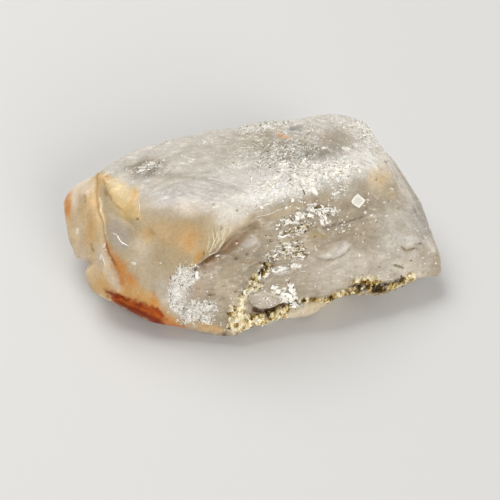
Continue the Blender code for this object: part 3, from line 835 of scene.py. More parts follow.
def glitter(zone):
    """The shares of the finest broken faces that get a painted glint, and that get painted shade, at each
    point.
    """
    w = zone.close
    clump = smooth_step(lumps(zone.points, 1.6, 54) * 1.6 + 0.6)
    granular = spot(w, 8.0, 25.6, 9.0, 3.4, 5) + 0.8 * spot(w, 3.0, 32.2, 6.0, 1.8, 6)
    ridge = near(w, RIDGE[2:7], 2.4) * smooth_step(lumps(zone.points, 1.2, 55) * 3.0 + 0.2)
    patch = near(w, FROST_BAND, 2.0)
    clusters = np.max([near(w, line, half_width * 1.5) for line, half_width, *_ in LARGE_CLUSTERS], axis=0)
    bright = 0.06 * zone.frost + 0.14 * granular + 0.30 * ridge + 0.16 * patch + 0.18 * clusters
    dark = 0.015 * zone.frost + 0.24 * granular + 0.04 * ridge + 0.05 * patch + 0.24 * clusters
    bright += 0.0008 * zone.face + 0.03 * zone.plate
    dark += 0.003 * zone.face + 0.04 * zone.plate
    smooth = (zone.dome + zone.fan + zone.window) * (1.0 - np.maximum(patch, clusters))
    rough = np.clip(1.0 - smooth - zone.cap, 0.0, 1.0)
    return bright * clump * rough * zone.front, dark * clump * rough * zone.front


# Clearer spots: (strength, across, up, half width, half height, turn).
CLEAR_SPOTS = [
    (0.15, 18, 25.2, 8, 2.4, 5),
    (0.15, 22.6, 29.6, 4.4, 2.7, 0),
    (0.15, -27.6, 21.6, 4.2, 2.2, 14),
]


def clearness(zone):
    """How far light goes through rather than scattering, at each point."""
    clear = 0.10 * (zone.face + zone.top + zone.hidden) + 0.12 * zone.window
    return np.clip(clear + spots_sum(zone.warped, CLEAR_SPOTS) * zone.front, 0.0, 0.5)


def quartz_surface():
    """The stone itself. Gives back what the pieces on it need: its shape and its zones."""
    mesh = working_surface()
    mesh.name = "quartz_surface"
    points, normals, edges = read(mesh)
    zone = Surface(points, normals)
    moved = points + normals * (relief(zone) * ~zone.foot)[:, None]
    moved[:, 2] = np.where(zone.foot, 0.0, np.maximum(moved[:, 2], 0.0))
    write(mesh, held_in(moved))
    moved, normals, _ = read(mesh)
    # Broken edges are crushed white, and the hollows get a little painted shade.
    bend = np.sum((moved - neighbours_mean(moved, edges)) * normals, axis=1)
    edge = smooth_step(bend * 18.0 - 0.1)
    hollow_shade = smooth_step(-bend * 14.0 - 0.1)
    colour = laid(tint(zone), edge * np.clip(0.15 + 0.5 * zone.frost, 0.0, 0.6), linear(SNOW))
    store(mesh, "tint", colour * (1.0 - hollow_shade * (0.06 + 0.22 * zone.frost))[:, None])
    store(mesh, "clear", clearness(zone))
    store(mesh, "frost", zone.frost)
    # The finest broken faces' painted glints and painted shade, as shares.
    for name, values in zip(("painted_glints", "painted_face_shade"), glitter(zone)):
        store(mesh, name, values)
    mesh.polygons.foreach_set("use_smooth", np.ones(len(mesh.polygons), bool))
    tree = BVHTree.FromPolygons([Vector(p) for p in moved], [p.vertices[:] for p in mesh.polygons])
    write(mesh, moved * MM)
    piece = new_piece("quartz_surface", mesh, quartz_material())
    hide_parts(NODE)
    return tree, moved, normals, zone


# ------------------------ flakes, crystals and fine lines

# Clusters of bright flakes on the front:
# (line, half width, how many, size, golden share, dark share for dirt and painted shade, turn, how long for
# their width).
FLAKE_CLUSTERS = [
    ([(8.6, 7), (12, 7.8)], 0.8, 70, 0.8, 0.06, 0.34, 15, 1.9),
    ([(13.2, 8.8), (16.2, 10.4)], 0.9, 66, 0.8, 0.05, 0.22, 15, 1.8),
    ([(17.4, 11.4), (22, 10.4)], 0.8, 50, 0.85, 0, 0.14, -15, 2.4),
    ([(19, 9), (20.2, 7.4)], 0.7, 34, 0.85, 0, 0.14, -60, 2),
    ([(11, 12.4), (17, 14.4)], 1.8, 90, 0.42, 0.1, 0.28, 20, 1.8),
    ([(9.4, 4.4), (12.6, 5.6), (15.4, 6)], 0.7, 130, 0.55, 0.5, 0.58, 15, 3.2),
    ([(5.4, -1.8), (9.6, -0.2), (14.2, -1.4)], 0.8, 160, 0.6, 0.3, 0.5, 10, 3.8),
    ([(9, 1), (13.6, 0.6)], 0.8, 120, 0.65, 0.3, 0.5, 15, 3.6),
    ([(5, 3.2), (9, 4.2)], 0.9, 60, 0.45, 0.5, 0.4, 20, 3.2),
    ([(6.4, -5.4), (9.8, -4.4), (12.2, -4.2)], 0.6, 26, 0.8, 0, 0, 10, 2),
    ([(6.6, -10.6), (9, -12.6), (12.6, -14.4)], 0.7, 110, 0.9, 0.1, 0.2, -35, 2.4),
    ([(10.4, -8.2), (11.2, -11), (11.6, -13.2)], 0.4, 46, 1, 0, 0.1, -75, 2.6),
    ([(6.6, -11.4), (8.6, -10.6)], 0.4, 26, 0.8, 0.2, 0.1, 25, 2.4),
    ([(4.4, -4.8), (2.4, -6.6), (1.2, -9.4)], 0.7, 90, 0.65, 0.5, 0.35, 55, 2.4),
    ([(-1.6, -11.2), (2.6, -9.6), (1.4, -8)], 0.7, 80, 0.8, 0.8, 0.15, 30, 1.8),
    ([(-18.4, -5.2), (-15.2, -6.8)], 0.9, 70, 0.5, 0, 0.08, 42, 4),
    ([(-19.8, -7.4), (-16.8, -10)], 0.8, 80, 0.55, 0, 0.09, 44, 5),
    ([(-16.6, -9.6), (-14, -7.2)], 0.45, 44, 0.6, 0, 0.12, 42, 4),
    ([(-20.6, -10), (-20.2, -16)], 0.8, 90, 0.46, 0, 0.05, 72, 3.6),
    ([(-18.8, -14.6), (-16.4, -16.4)], 1.2, 90, 0.5, 0, 0.06, 60, 2.4),
    ([(-14.6, -14.2), (-10.2, -14.6)], 0.9, 100, 0.5, 0, 0.06, 30, 2.4),
    ([(-16.6, -17.6), (-11.6, -18)], 0.8, 80, 0.5, 0.05, 0.06, 70, 2.6),
    ([(-28.4, 21), (-24, 22.6)], 0.5, 50, 0.7, 0, 0.1, 22, 2.2),
    ([(-15.4, 28.4), (-9.6, 29)], 0.7, 34, 0.45, 0, 0, 10, 2),
    ([(-17.4, 24.4), (-14.6, 23.8)], 0.8, 26, 0.4, 0, 0.1, 10, 2),
    ([(-4, 22.2), (6, 21.4)], 1.6, 80, 0.4, 0, 0.03, 40, 1.6),
    ([(-2.2, 32.2), (9, 33.4)], 0.9, 84, 0.5, 0.05, 0.3, 10, 1.8),
    ([(30, 32.4), (31.6, 28.6)], 1.2, 80, 0.6, 0, 0.03, -60, 2),
    ([(22, 14.4), (24.6, 16.2)], 1.4, 34, 0.45, 0.1, 0.1, 20, 1.8),
    ([(-9.2, 6), (-7, 5.4), (-8.6, 1.4), (-11.6, -1.8)], 0.8, 34, 0.3, 0.6, 0.1, 70, 5),
    ([(22, 4.6), (28, 7.4)], 0.9, 50, 0.4, 0.2, 0.1, 20, 1.8),
    ([(26, 33), (30, 33.2)], 0.8, 40, 0.5, 0.1, 0, 10, 1.8),
    ([(3.8, 15.8), (6.6, 18.6)], 0.9, 46, 1.2, 0, 0, 35, 2.2),
    ([(7.4, 21), (9.4, 22.6)], 0.8, 34, 0.9, 0, 0.1, 30, 1.4),
    ([(12.6, 19.4), (16.4, 16.4)], 0.9, 60, 1.1, 0, 0.03, -40, 3.6),
    ([(10, 18.4), (13.4, 20)], 1, 60, 0.8, 0, 0.06, 40, 2.6),
    ([(18, 20.8), (24.8, 22.2)], 1.3, 120, 0.9, 0.03, 0.05, 20, 2.2),
    ([(12, 21.4), (17.6, 22.6)], 1.3, 90, 0.75, 0, 0.08, 60, 2.4),
    ([(1, 17.6), (8, 22.6)], 2, 80, 0.45, 0, 0, 40, 2.2),
    ([(2.4, 15.6), (8, 19.4)], 0.9, 34, 1.3, 0, 0, 40, 3),
    ([(12, 17.6), (26, 21.6)], 1.2, 60, 1.1, 0, 0, 15, 3.4),
]
LARGE_FLAKE = 0.5
LARGE_CLUSTERS = [cluster for cluster in FLAKE_CLUSTERS if cluster[3] >= LARGE_FLAKE]
# Glints that lie by themselves: (across, up, size, turn, how long for its width, corners).
GLINTS = [
    (28.5, 13, 3.7, 8, 1.05, 4), (31.1, 13.2, 0.6, -30, 1.4, 4), (30.4, 9.9, 0.9, -60, 1.2, 3),
    (32.8, 10.7, 0.5, 5, 1.8, 5), (35.4, 12.5, 0.6, 8, 2.2, 5), (33.8, 0.9, 0.5, -5, 2.4, 5),
    (28.9, -1.4, 0.6, 85, 3, 4), (-38.4, 1.2, 0.9, 80, 2.2, 5), (-39.4, -1.8, 0.9, 75, 4, 5),
    (-37.6, 20.5, 0.8, 28, 3.4, 5), (-30.6, -3.5, 1, -25, 1.8, 6), (-45.6, 5, 0.9, 80, 3, 6),
    (-3.5, 1.8, 0.6, 0, 1.6, 6), (-10.2, -7.2, 0.5, 50, 2.6, 5), (-4.4, -9.5, 0.5, -20, 2.6, 5),
    (4.6, 16.8, 1.8, 35, 2.4, 7), (6, 17.9, 1.5, 35, 2.2, 7), (9, 21.6, 1.1, 0, 1.1, 6),
    (25.3, 26.8, 1.3, -10, 3.4, 8), (19.2, 26.8, 0.7, 0, 1.2, 4), (-21.6, 28.2, 1.1, 15, 2.6, 6),
    (-2.8, 10.2, 0.7, 30, 1.6, 5), (-23.6, -3.4, 0.6, 0, 1.4, 4), (19.4, 20.8, 1.4, 15, 1.8, 7),
    (22.6, 21.2, 1.3, 10, 1.6, 6), (14.2, 17.9, 1.3, -40, 4, 6), (37.4, 16.1, 0.7, -20, 3.4, 5),
    (24.4, 33.8, 1, 20, 3, 6), (12, -4.2, 1.2, -4, 4, 5), (4.1, -6.6, 1.5, 35, 1.5, 6),
    (2.4, -9.2, 0.8, 20, 2.4, 5),
]
STRAW = (252, 240, 208)
# Fine bright lines on the front, by colour: (line, width).
BRIGHT_LINES = [
    (SNOW, [
        ([(-36.6, 4.6), (-35, 3.8), (-34.2, 2.4)], 0.45),
        ([(-35.2, 3.8), (-34.2, 2.2), (-33.4, 1.6), (-32, 1)], 0.55),
        ([(-29.7, 13.8), (-29.2, 11.6), (-29.5, 8.8)], 0.3),
    ]),
    (CREAM, [
        ([(-37.4, 10.2), (-33.6, 7.8), (-30.6, 6.2)], 0.22),
    ]),
    (STRAW, [
        ([(-10, 6.2), (-9.8, 4), (-9.6, 1.7), (-10.6, -0.4), (-12.1, -2.5)], 0.34),
        ([(-8.3, 6.7), (-8.5, 4.8), (-8.1, 2.9), (-9.2, 1), (-10.6, -0.5)], 0.3),
        ([(-6.2, 6.3), (-7.5, 4.5), (-7.3, 2.5), (-9, -0.2), (-11.7, -2.1)], 0.34),
        ([(-9.1, 6.3), (-8.9, 3.4), (-9.9, 0.9), (-11.4, -1.2)], 0.25),
        ([(-5.4, 5.6), (-6.5, 3.4), (-7.4, 1), (-9.4, -1.2)], 0.25),
        ([(-11.4, 5.4), (-10.7, 3), (-11, 0.8), (-12.6, -1.4)], 0.2),
        ([(-7, 6.9), (-6.7, 5.3), (-7, 4)], 0.25), ([(-10.9, 3.4), (-11.3, 1.2), (-12, -0.6)], 0.22),
    ]),
    (SNOW, [
        ([(0.8, 8.6), (4.8, 9.3), (7.4, 10.6), (9.2, 11.2)], 0.3), ([(2, 11.4), (6.4, 12.6)], 0.3),
        ([(15.6, 17.6), (13, 20)], 0.5), ([(17, 16.6), (15.6, 18.6)], 0.4),
        ([(12.8, -5.6), (14.8, -5.7)], 0.25), ([(17.4, -5), (19.4, -5.1)], 0.25),
    ]),
    (MILK, [
        ([(22, -2.2), (24.8, -0.4), (26.2, 1.6)], 0.25), ([(33, 28), (37.2, 21.4), (41, 14)], 0.16),
        ([(34.6, 28.4), (40.2, 18.8), (44.6, 9.4)], 0.16), ([(31.4, 29), (34.8, 23.8)], 0.18),
        ([(41.4, 14), (45.4, 4.6)], 0.14),
    ]),
    (SNOW, [
        ([(-39.2, 19.4), (-36.2, 20.6)], 0.5), ([(-46.4, 15.6), (-41.8, 19)], 0.35),
        ([(-39.2, -1.2), (-38.2, -4.4)], 0.35), ([(-19.6, -5), (-19, -9.8), (-20.2, -13.6)], 0.3),
        ([(-17.8, -4.8), (-16.6, -8.4)], 0.3), ([(-16.2, -5.6), (-18.4, -8), (-19.6, -11.2)], 0.25),
    ]),
]


NEARLY_UP = UP + np.array([0.013, 0.0, 0.0])  # no normal lies quite along it
FLAKE_CORNERS = 9
FLAKE_RAGGED = 0.55
FLAKE_THICKNESS = 0.14


def sides_of(normals, turn):
    """Two directions along the surface at each normal, turned by the angles from level."""
    across = np.cross(NEARLY_UP, normals)
    across /= np.linalg.norm(across, axis=1)[:, None]
    along = np.cross(normals, across)
    c, s = np.cos(turn)[:, None], np.sin(turn)[:, None]
    return across * c + along * s, along * c - across * s


def moved_inside(points):
    """Small things given by their points, each moved as a whole into the solid's box."""
    over = np.maximum((points - HIGH).max(axis=1, keepdims=True), 0.0)
    under = np.maximum((LOW - points).max(axis=1, keepdims=True), 0.0)
    return points - over + under


def plates(middles, normals, sizes, slimness, turn, tilt, rng):
    """Thin ragged plates, each lying on the surface with a small tilt: points and faces."""
    count, corners = len(middles), FLAKE_CORNERS
    across, along = sides_of(normals, turn)
    lean = np.tan(tilt)[:, None]
    axis = rng.uniform(0, 2 * math.pi, count)[:, None]
    angles = (np.arange(corners) + rng.uniform(-0.3, 0.3, (count, corners))) * (2 * math.pi / corners)
    reach = rng.uniform(1.0 - FLAKE_RAGGED, 1.0 + 0.3 * FLAKE_RAGGED, (count, corners))
    reach = sizes[:, None] * 0.55 * reach
    x = np.cos(angles) * reach * np.sqrt(slimness)[:, None]
    y = np.sin(angles) * reach / np.sqrt(slimness)[:, None]
    rise = (x * np.cos(axis) + y * np.sin(axis)) * lean
    place = middles[:, None] + across[:, None] * x[..., None] + along[:, None] * y[..., None]
    top = place + normals[:, None] * (rise + FLAKE_THICKNESS * 0.5)[..., None]
    bottom = place + normals[:, None] * (np.minimum(rise, 0.0) - FLAKE_THICKNESS)[..., None]
    points = moved_inside(np.concatenate([top, bottom], axis=1)).reshape(-1, 3)
    ring = np.arange(corners)
    after = np.roll(ring, -1)
    first = np.arange(count)[:, None, None] * 2 * corners
    lids = np.concatenate([first + ring[None, None], first + corners + ring[::-1][None, None]])
    walls = first + np.stack([ring, ring + corners, after + corners, after], axis=1)[None]
    return points, lids.reshape(-1, corners).tolist() + walls.reshape(-1, 4).tolist()


def grains(middles, normals, sizes, rng):
    """Small crystals, each a box with its corners out of true: points and faces."""
    count = len(middles)
    corners = np.array(list(np.ndindex(2, 2, 2))) - 0.5
    shape = corners[None] * rng.uniform(0.55, 1.25, (count, 1, 3)) + rng.uniform(-0.22, 0.22, (count, 8, 3))
    turn = rng.uniform(0, 2 * math.pi, count)
    across, along = sides_of(normals + rng.uniform(-0.5, 0.5, (count, 3)), turn)
    out = np.cross(across, along)
    axes = np.stack([across, along, out], axis=1)
    points = middles[:, None] + np.einsum("nkc,ncd->nkd", shape * sizes[:, None, None], axes)
    sides = np.array([[0, 1, 3, 2], [4, 6, 7, 5], [0, 4, 5, 1], [2, 3, 7, 6], [0, 2, 6, 4], [1, 5, 7, 3]])
    faces = np.arange(count)[:, None, None] * 8 + sides[None]
    return moved_inside(points).reshape(-1, 3), faces.reshape(-1, 4).tolist()


def scattered(zone, share, count, rng):
    """Indices of so many surface points, drawn in proportion to the share."""
    share = np.clip(share, 0.0, None) * ~zone.foot
    return rng.choice(len(share), size=count, p=share / share.sum())


def build(name, parts, material):
    """One piece from several sets of points, faces and the points' colours."""
    points, faces, start = [], [], 0
    for part_points, part_faces, _ in parts:
        points.append(part_points)
        faces += [[corner + start for corner in face] for face in part_faces]
        start += len(part_points)
    mesh = bpy.data.meshes.new(name)
    mesh.from_pydata((held_in(np.concatenate(points)) * MM).tolist(), [], faces)
    store(mesh, "tint", np.concatenate([shades for _, _, shades in parts]))
    return new_piece(name, mesh, material)


def flakes(points, normals, chosen, sizes, turn, slimness, tilt, golden, darkening, rng):
    """Plates on the chosen points, some of them golden and some dark for dirt and painted shade: points,
    faces and colours.
    """
    count = len(chosen)
    chance = rng.uniform(0, 1, (count, 2))
    # Dark flakes stand for dirt and painted shade among the bright ones.
    darkened, gold = chance[:, :1] < darkening, chance[:, 1:] < golden
    middles = points[chosen] + rng.uniform(-0.15, 0.15, (count, 3)) - 0.07 * darkened * normals[chosen]
    shape = plates(middles, normals[chosen], sizes, slimness, turn, tilt, rng)
    pale = linear((252, 248, 237)) * rng.uniform(0.78, 1.0, (count, 1))
    straw = linear((230, 214, 170)) * rng.uniform(0.55, 1.0, (count, 1))
    dark = np.where(gold, linear((92, 66, 20)), linear((116, 98, 60))) * rng.uniform(0.4, 1.2, (count, 1))
    shades = np.where(darkened, dark, np.where(gold, straw, pale))
    return *shape, np.repeat(shades, 2 * FLAKE_CORNERS, axis=0)


def clustered(points, normals, zone, rng):
    """The flakes of each cluster."""
    for line, half_width, count, size, golden, darkening, turn, slim in FLAKE_CLUSTERS:
        share = near(zone.close, line, half_width) * zone.seen * smooth_step(zone.clump * 3.0 + 0.4)
        chosen = scattered(zone, share * (1.0 - zone.plate), count, rng)
        sizes = size * rng.lognormal(-0.25, 0.4, count)
        turns = math.radians(turn) + rng.normal(0.0, 0.45, count)
        slimness, tilt = slim * rng.uniform(0.6, 1.5, count), rng.uniform(0.03, 0.40, count)
        yield flakes(points, normals, chosen, sizes, turns, slimness, tilt, golden, darkening, rng)


def spread(points, normals, zone, rng):
    """Sparse glitter everywhere else, most of it on the sugary parts."""
    for share, count, size in (
        (zone.top * zone.frost, 300, 0.50),
        (near(zone.warped, RIDGE[2:7], 2.2) * zone.front, 90, 0.8),
        (zone.face, 20, 0.15),
        (zone.dome * 0.6 + zone.cap, 14, 0.26),
        (zone.hidden * zone.frost, 420, 0.5),
    ):
        chosen = scattered(zone, share * smooth_step(zone.clump * 2.0 + 0.3), count, rng)
        sizes = size * rng.uniform(0.4, 1.4, count)
        turns, slimness = rng.uniform(0, 2 * math.pi, count), rng.uniform(1.0, 2.2, count)
        tilt = rng.uniform(0.05, 0.5, count)
        yield flakes(points, normals, chosen, sizes, turns, slimness, tilt, 0.02, 0.0, rng)


def silvery_flakes(tree, points, normals, zone):
    rng = np.random.default_rng(FLAKE_SEED)
    parts = [*clustered(points, normals, zone, rng), *spread(points, normals, zone, rng)]
    parts += [leaf(tree, *glint, rng) for glint in GLINTS]
    for shade, lines in BRIGHT_LINES:
        parts += [ribbon(tree, line, width, shade, rng) for line, width in lines]
    build("silvery_flakes", parts, flake_material())


def golden_crust(points, normals, zone):
    rng = np.random.default_rng(CRUST_SEED)
    w = zone.close
    clump = smooth_step(lumps(points, 1.1, 71) * 2.0 + 0.6)
    patches = lumps(points, 0.8, 52) + 0.5 * lumps(points, 1.9, 53)
    parts = []
    # Each kind: where, how many, and their size.
    for share, count, size in (
        (near(w, SEAM, 0.9) * zone.crust, 1100, 0.26),
        (near(w, SEAM_FOOT, 1.1), 2000, 0.29),
        (near(w, BLOCK_TOP, 0.35), 800, 0.22),
        (spot(w, 30.8, -9.2, 2.7, 1.9), 1700, 0.25),
        (near(w, GOLD_EDGE, 0.7), 900, 0.22),
    ):
        share = share * zone.seen * (1.0 - zone.plate) * (1.0 - near(w, PLATE_SHADOW, 0.5)) * clump
        chosen = scattered(zone, share, count, rng)
        sizes = size * rng.lognormal(-0.1, 0.35, count)
        middles = points[chosen] + rng.uniform(-0.12, 0.12, (count, 3)) - normals[chosen] * 0.12
        shape = grains(middles, normals[chosen], sizes, rng)
        # crust_dark darkens the grains too, in places as painted shade.
        at = 0.9 + 3.2 * patches[chosen] + zone.crust_dark[chosen] + rng.normal(0.0, 0.45, count)
        parts.append((*shape, np.repeat(crust_shade(at), 8, axis=0)))
    build("golden_crust", parts, crust_material())


def on_stone(tree, across, up):
    """The place on the stone that is seen at (across, up), and its normal, or None beside the stone."""
    target = np.array([across, 0.0, 0.0]) + UP * up
    place, normal, _, _ = tree.ray_cast(Vector(EYE), Vector(target - EYE).normalized())
    return None if place is None else (np.array(place), np.array(normal))


def leaf(tree, across, up, size, turn, slim, corners, rng):
    """A flake that follows the stone, with so many corners and pinched sides: points, faces and colours."""
    pinch = np.tile([1.0, 0.62 + corners * 0.04], corners)
    corners *= 2
    steps = np.arange(corners) + rng.uniform(-0.2, 0.2, corners)
    angles = steps * (2 * math.pi / corners) + math.radians(turn)
    reach = 0.5 * size * rng.uniform(0.91, 1.07, corners) * pinch
    c, s = math.cos(math.radians(turn)), math.sin(math.radians(turn))
    x, y = np.cos(angles) * reach, np.sin(angles) * reach
    stretch, squeeze = math.sqrt(slim), 1 / math.sqrt(slim)
    ahead, aside = (x * c + y * s) * stretch, (y * c - x * s) * squeeze
    rim = np.stack([across + ahead * c - aside * s, up + ahead * s + aside * c], axis=1)
    middle = np.array([[across, up]])
    halfway = middle + (rim - middle) * 0.5
    found = [on_stone(tree, *here) for here in np.concatenate([rim, halfway, middle])]
    places, normals = (np.array(part) for part in zip(*found))
    top, root = places + normals * 0.10, places[:corners] - normals[:corners] * 0.15
    points = np.concatenate([top, root])
    faces = []
    for here in range(corners):
        there = (here + 1) % corners
        faces.append([here, there, corners + there, corners + here])
        faces.append([corners + here, corners + there, 2 * corners])
        faces.append([here, 2 * corners + 1 + here, 2 * corners + 1 + there, there])
    faces.append([2 * corners + 1 + here for here in range(corners)][::-1])
    # The rim is crushed white, the middle clearer.
    index = np.arange(len(points))[:, None]
    clear = (index >= corners) & (index <= 2 * corners)
    return points, faces, np.where(clear, linear((218, 212, 200)), linear((250, 246, 236)))


def ribbon(tree, line, width, shade, rng):
    """A fine raised line, tapered to its ends and a little unsteady: points, faces and colours."""
    line = np.array(line)
    steps = np.hypot(*np.diff(line, axis=0).T)
    reach = np.concatenate([[0.0], np.cumsum(steps)])
    count = max(4, int(reach[-1] / 0.35))
    at = np.linspace(0.0, reach[-1], count)
    course = np.stack([np.interp(at, reach, line[:, axis]) for axis in range(2)], axis=1)
    drift = np.cumsum(rng.normal(0.0, 0.05, (count, 2)), axis=0)
    course += drift - np.linspace(0, 1, count)[:, None] * drift[-1]
    found = list(filter(None, (on_stone(tree, *here) for here in course)))
    places, facing = (np.array(part) for part in zip(*found))
    count = len(found)
    heading = np.gradient(places, axis=0)
    side = np.cross(heading, facing)
    side /= np.linalg.norm(side, axis=1)[:, None]
    taper = np.sin(np.linspace(0.06, math.pi - 0.06, count)) ** 0.6 * rng.uniform(0.55, 1.25, count)
    half = (0.5 * width * taper)[:, None]
    left, right = places - side * half - facing * 0.06, places + side * half - facing * 0.06
    crest, root = places + facing * (0.05 + half * 0.35), places - facing * 0.25
    points = np.stack([left, crest, right, root], axis=1).reshape(-1, 3)
    faces = [[0, 1, 2, 3], [4 * count - 1, 4 * count - 2, 4 * count - 3, 4 * count - 4]]
    for step in range(count - 1):
        for corner in range(4):
            a, b = 4 * step + corner, 4 * step + (corner + 1) % 4
            faces.append([a, a + 4, b + 4, b])
    return points, faces, np.tile(linear(shade) * 0.95, (len(points), 1))


# ------------------------ materials


# The painted shade and painted glints of the finest broken faces, and the fine lines' dark and bright.
FACE_SHADE, GLINT_FACE = (0.52, 0.45, 0.32, 1.0), (0.97, 0.95, 0.90, 1.0)
DARK_THREAD, BRIGHT_THREAD = (0.66, 0.61, 0.52, 1.0), (0.99, 0.97, 0.93, 1.0)
FLAKE_DIRT, CRUST_DIRT = (0.44, 0.37, 0.25, 1.0), (0.36, 0.27, 0.13, 1.0)
# The finest broken faces, painted as glints and shade, three sets of them: (size, how far drawn out, turn,
# strength).
BROKEN_FACES = [(0.30, 3.6, 28.0, 0.6), (0.26, 3.2, -38.0, 0.7), (0.24, 2.6, 70.0, 0.8)]
# Soft blotches on the quartz, as factors: (size, detail, factor at one end, factor at the other).
BLOTCHES = [(4.0, 4.0, 0.90, 1.08), (0.9, 3.0, 1.05, 0.94), (0.42, 2.0, 1.07, 0.91)]


class Nodes:
    """A material's node tree, with short ways to add and join nodes."""

    def __init__(self, name):
        self.material = bpy.data.materials.new(name)
        self.material.use_nodes = True
        self.tree = self.material.node_tree

    def fill(self, node, inputs):
        """Sets a node's inputs, each to a value or to what another node gives."""
        for key, value in inputs.items():
            if isinstance(value, bpy.types.NodeSocket):
                self.tree.links.new(value, node.inputs[key])
            else:
                node.inputs[key].default_value = value

    def add(self, kind, inputs=None, **settings):
        node = self.tree.nodes.new("ShaderNode" + kind)
        for key, value in settings.items():
            setattr(node, key, value)
        self.fill(node, inputs or {})
        return node

    def finished(self, inputs):
        """The material, with these inputs of its surface set."""
        self.fill(self.tree.nodes["Principled BSDF"], inputs)
        return self.material

    def stored(self, name, output="Fac"):
        """What the mesh stores at each point under that name."""
        return self.add("Attribute", attribute_name=name).outputs[output]

    def place(self, stretch=1.0, turn=0.0):
        """The place on the piece in millimetres, so that patterns get drawn out along a level direction."""
        inputs = {
            "Vector": self.add("TexCoord").outputs["Object"],
            "Rotation": (0.0, 0.0, math.radians(turn)),
            "Scale": (MM * stretch, MM, MM),
        }
        return self.add("Mapping", inputs, vector_type="TEXTURE").outputs["Vector"]

    def noise(self, size, detail):
        inputs = {"Vector": self.place(), "Scale": 1.0 / size, "Detail": detail}
        return self.add("TexNoise", inputs).outputs["Fac"]

    def mottle(self, size, detail, to_low, to_high, low=0.3, high=0.7):
        """Soft blotches, with values from to_low to to_high."""
        return self.span(self.noise(size, detail), low, high, to_low, to_high)

    def threads(self, size):
        """1 on fine wandering lines, 0 between them."""
        away = self.math("ABSOLUTE", self.math("SUBTRACT", self.noise(size, 2.0), 0.5))
        return self.span(away, 0.0, 0.04, 1.0, 0.0)

    def cells(self, size, stretch, turn):
        """A random colour for each of the cells that fill space."""
        inputs = {"Vector": self.place(stretch, turn), "Scale": 1.0 / size}
        return self.add("SeparateColor", {"Color": self.add("TexVoronoi", inputs).outputs["Color"]}).outputs

    def math(self, operation, a, b=0.0, clamp=False):
        return self.add("Math", {0: a, 1: b}, operation=operation, use_clamp=clamp).outputs[0]

    def times(self, a, b, clamp=False):
        return self.math("MULTIPLY", a, b, clamp)

    def span(self, value, low, high, to_low, to_high):
        """Value from low to high, made to_low to to_high, and held there outside."""
        inputs = {"Value": value, "From Min": low, "From Max": high, "To Min": to_low, "To Max": to_high}
        return self.add("MapRange", inputs, clamp=True).outputs["Result"]

    def mix(self, share, a, b, blend="MIX"):
        return self.add("Mix", {0: share, 6: a, 7: b}, data_type="RGBA", blend_type=blend).outputs[2]


def broken_faces(n, colour):
    """The colour with painted glints and painted shade on tiny broken faces, and fine wandering lines
    between them.
    """
    glint_share, shade_share = n.stored("painted_glints"), n.stored("painted_face_shade")
    for size, stretch, turn, strength in BROKEN_FACES:
        chance = n.cells(size, stretch, turn)
        dark = n.math("LESS_THAN", chance["Green"], shade_share)
        bright = n.math("LESS_THAN", chance["Red"], glint_share)
        colour = n.mix(n.times(dark, strength), colour, FACE_SHADE, "MULTIPLY")
        colour = n.mix(n.times(bright, strength), colour, GLINT_FACE)
    dark = n.times(n.threads(0.9), n.times(shade_share, 5.0), clamp=True)
    colour = n.mix(dark, colour, DARK_THREAD, "MULTIPLY")
    bright = n.times(n.threads(0.7), n.times(glint_share, 4.0), clamp=True)
    return n.mix(bright, colour, BRIGHT_THREAD)


def quartz_bump(n, frost):
    """A fine grain all over, and tiny tilted faces where it is frosted."""
    grain = n.times(n.noise(0.8, 3.0), 0.3)
    tilted = n.cells(0.5, 1.8, 28.0)["Blue"]
    height = n.math("ADD", grain, n.times(tilted, n.times(frost, 0.6)))
    return n.add("Bump", {"Height": height, "Distance": 0.12 * MM, "Strength": 0.5}).outputs["Normal"]


def quartz_material():
    n = Nodes("milky_quartz")
    frost, colour = n.stored("frost"), n.stored("tint", "Color")
    for blotches in BLOTCHES:
        colour = n.mix(1.0, colour, n.mottle(*blotches), "MULTIPLY")
    return n.finished({
        "Base Color": broken_faces(n, colour),
        "Roughness": n.mottle(3.0, 3.0, 0.26, 0.44),
        "IOR": 1.544,
        "Specular IOR Level": 0.27,
        "Specular Tint": (1.0, 0.92, 0.80, 1.0),
        "Subsurface Weight": 0.6,
        "Subsurface Radius": (1.0, 0.85, 0.65),
        "Subsurface Scale": 0.9 * MM,
        "Transmission Weight": n.stored("clear"),
        "Normal": quartz_bump(n, frost),
    })


def flake_material():
    """Cleaved faces that throw the light back."""
    n = Nodes("silvery_flakes")
    darkening = n.mottle(0.4, 2.0, 0.0, 0.40, 0.48, 0.70)
    return n.finished({
        "Base Color": n.mix(darkening, n.stored("tint", "Color"), FLAKE_DIRT),
        "Roughness": n.mottle(0.8, 2.0, 0.16, 0.34),
        "IOR": 1.55,
    })


def crust_material():
    """Small stained crystals, with dirt between them."""
    n = Nodes("golden_crust")
    darkening = n.mottle(0.7, 3.0, 0.0, 0.6, 0.48, 0.68)
    return n.finished({
        "Base Color": n.mix(darkening, n.stored("tint", "Color"), CRUST_DIRT, "MULTIPLY"),
        "Roughness": n.mottle(0.5, 2.0, 0.22, 0.50),
        "IOR": 1.55,
        "Specular IOR Level": 0.18,
        "Specular Tint": (1.0, 0.90, 0.72, 1.0),
    })


# ------------------------ stage


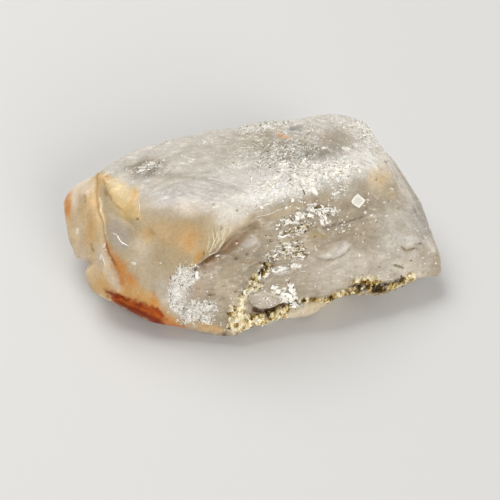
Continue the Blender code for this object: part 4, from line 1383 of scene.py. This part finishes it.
CLIP_START = 0.01
FLOOR_HALF = 6.0
FLOOR_COLOUR = (0.63, 0.62, 0.60, 1.0)
LIT_POINT = (0.0, 0.0, 0.01)
# (name, place, size, power)
LIGHTS = [("key", (-0.66, 0.96, 1.50), 1.50, 27.0), ("fill", (1.05, -1.65, 0.84), 1.35, 33.0)]
WORLD_STRENGTH = 0.40
WHITE = (1.0, 1.0, 1.0, 1.0)


def aim(thing, place, target):
    """Puts a thing at a place, so that it looks at the target."""
    thing.location = place
    thing.rotation_mode = "QUATERNION"
    thing.rotation_quaternion = (Vector(target) - thing.location).to_track_quat("-Z", "Y")


def camera():
    data = bpy.data.cameras.new("camera")
    data.sensor_width = SENSOR
    data.lens = SENSOR * VIEW_DISTANCE / FRAME_WIDTH
    data.clip_start = CLIP_START
    bpy.context.scene.camera = placed("camera", data)
    aim(bpy.context.scene.camera, Vector(EYE) * MM, (0.0, 0.0, 0.0))


def floor():
    mesh = bpy.data.meshes.new("floor")
    corners = [(x * FLOOR_HALF, y * FLOOR_HALF, 0.0) for x, y in ((-1, -1), (1, -1), (1, 1), (-1, 1))]
    mesh.from_pydata(corners, [], [(0, 1, 2, 3)])
    mesh.materials.append(Nodes("floor").finished({"Base Color": FLOOR_COLOUR, "Roughness": 0.6}))
    plane = placed("floor", mesh)
    plane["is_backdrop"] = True


def light(name, place, size, power):
    data = bpy.data.lights.new(name, "AREA")
    data.shape = "DISK"
    data.size = size
    data.energy = power
    aim(placed(name, data), place, LIT_POINT)


def studio():
    for lamp in LIGHTS:
        light(*lamp)
    world = bpy.data.worlds.new("studio")
    world.use_nodes = True
    inputs = world.node_tree.nodes["Background"].inputs
    inputs["Color"].default_value = WHITE
    inputs["Strength"].default_value = WORLD_STRENGTH
    bpy.context.scene.world = world
    bpy.context.scene.view_settings.view_transform = "Standard"


camera()
floor()
studio()
tree, points, normals, zone = quartz_surface()
silvery_flakes(tree, points, normals, zone)
golden_crust(points, normals, zone)

boxes = {"cad": CAD_BOX, "visual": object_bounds()}
{name: [list(corner) for corner in box] for name, box in boxes.items()}
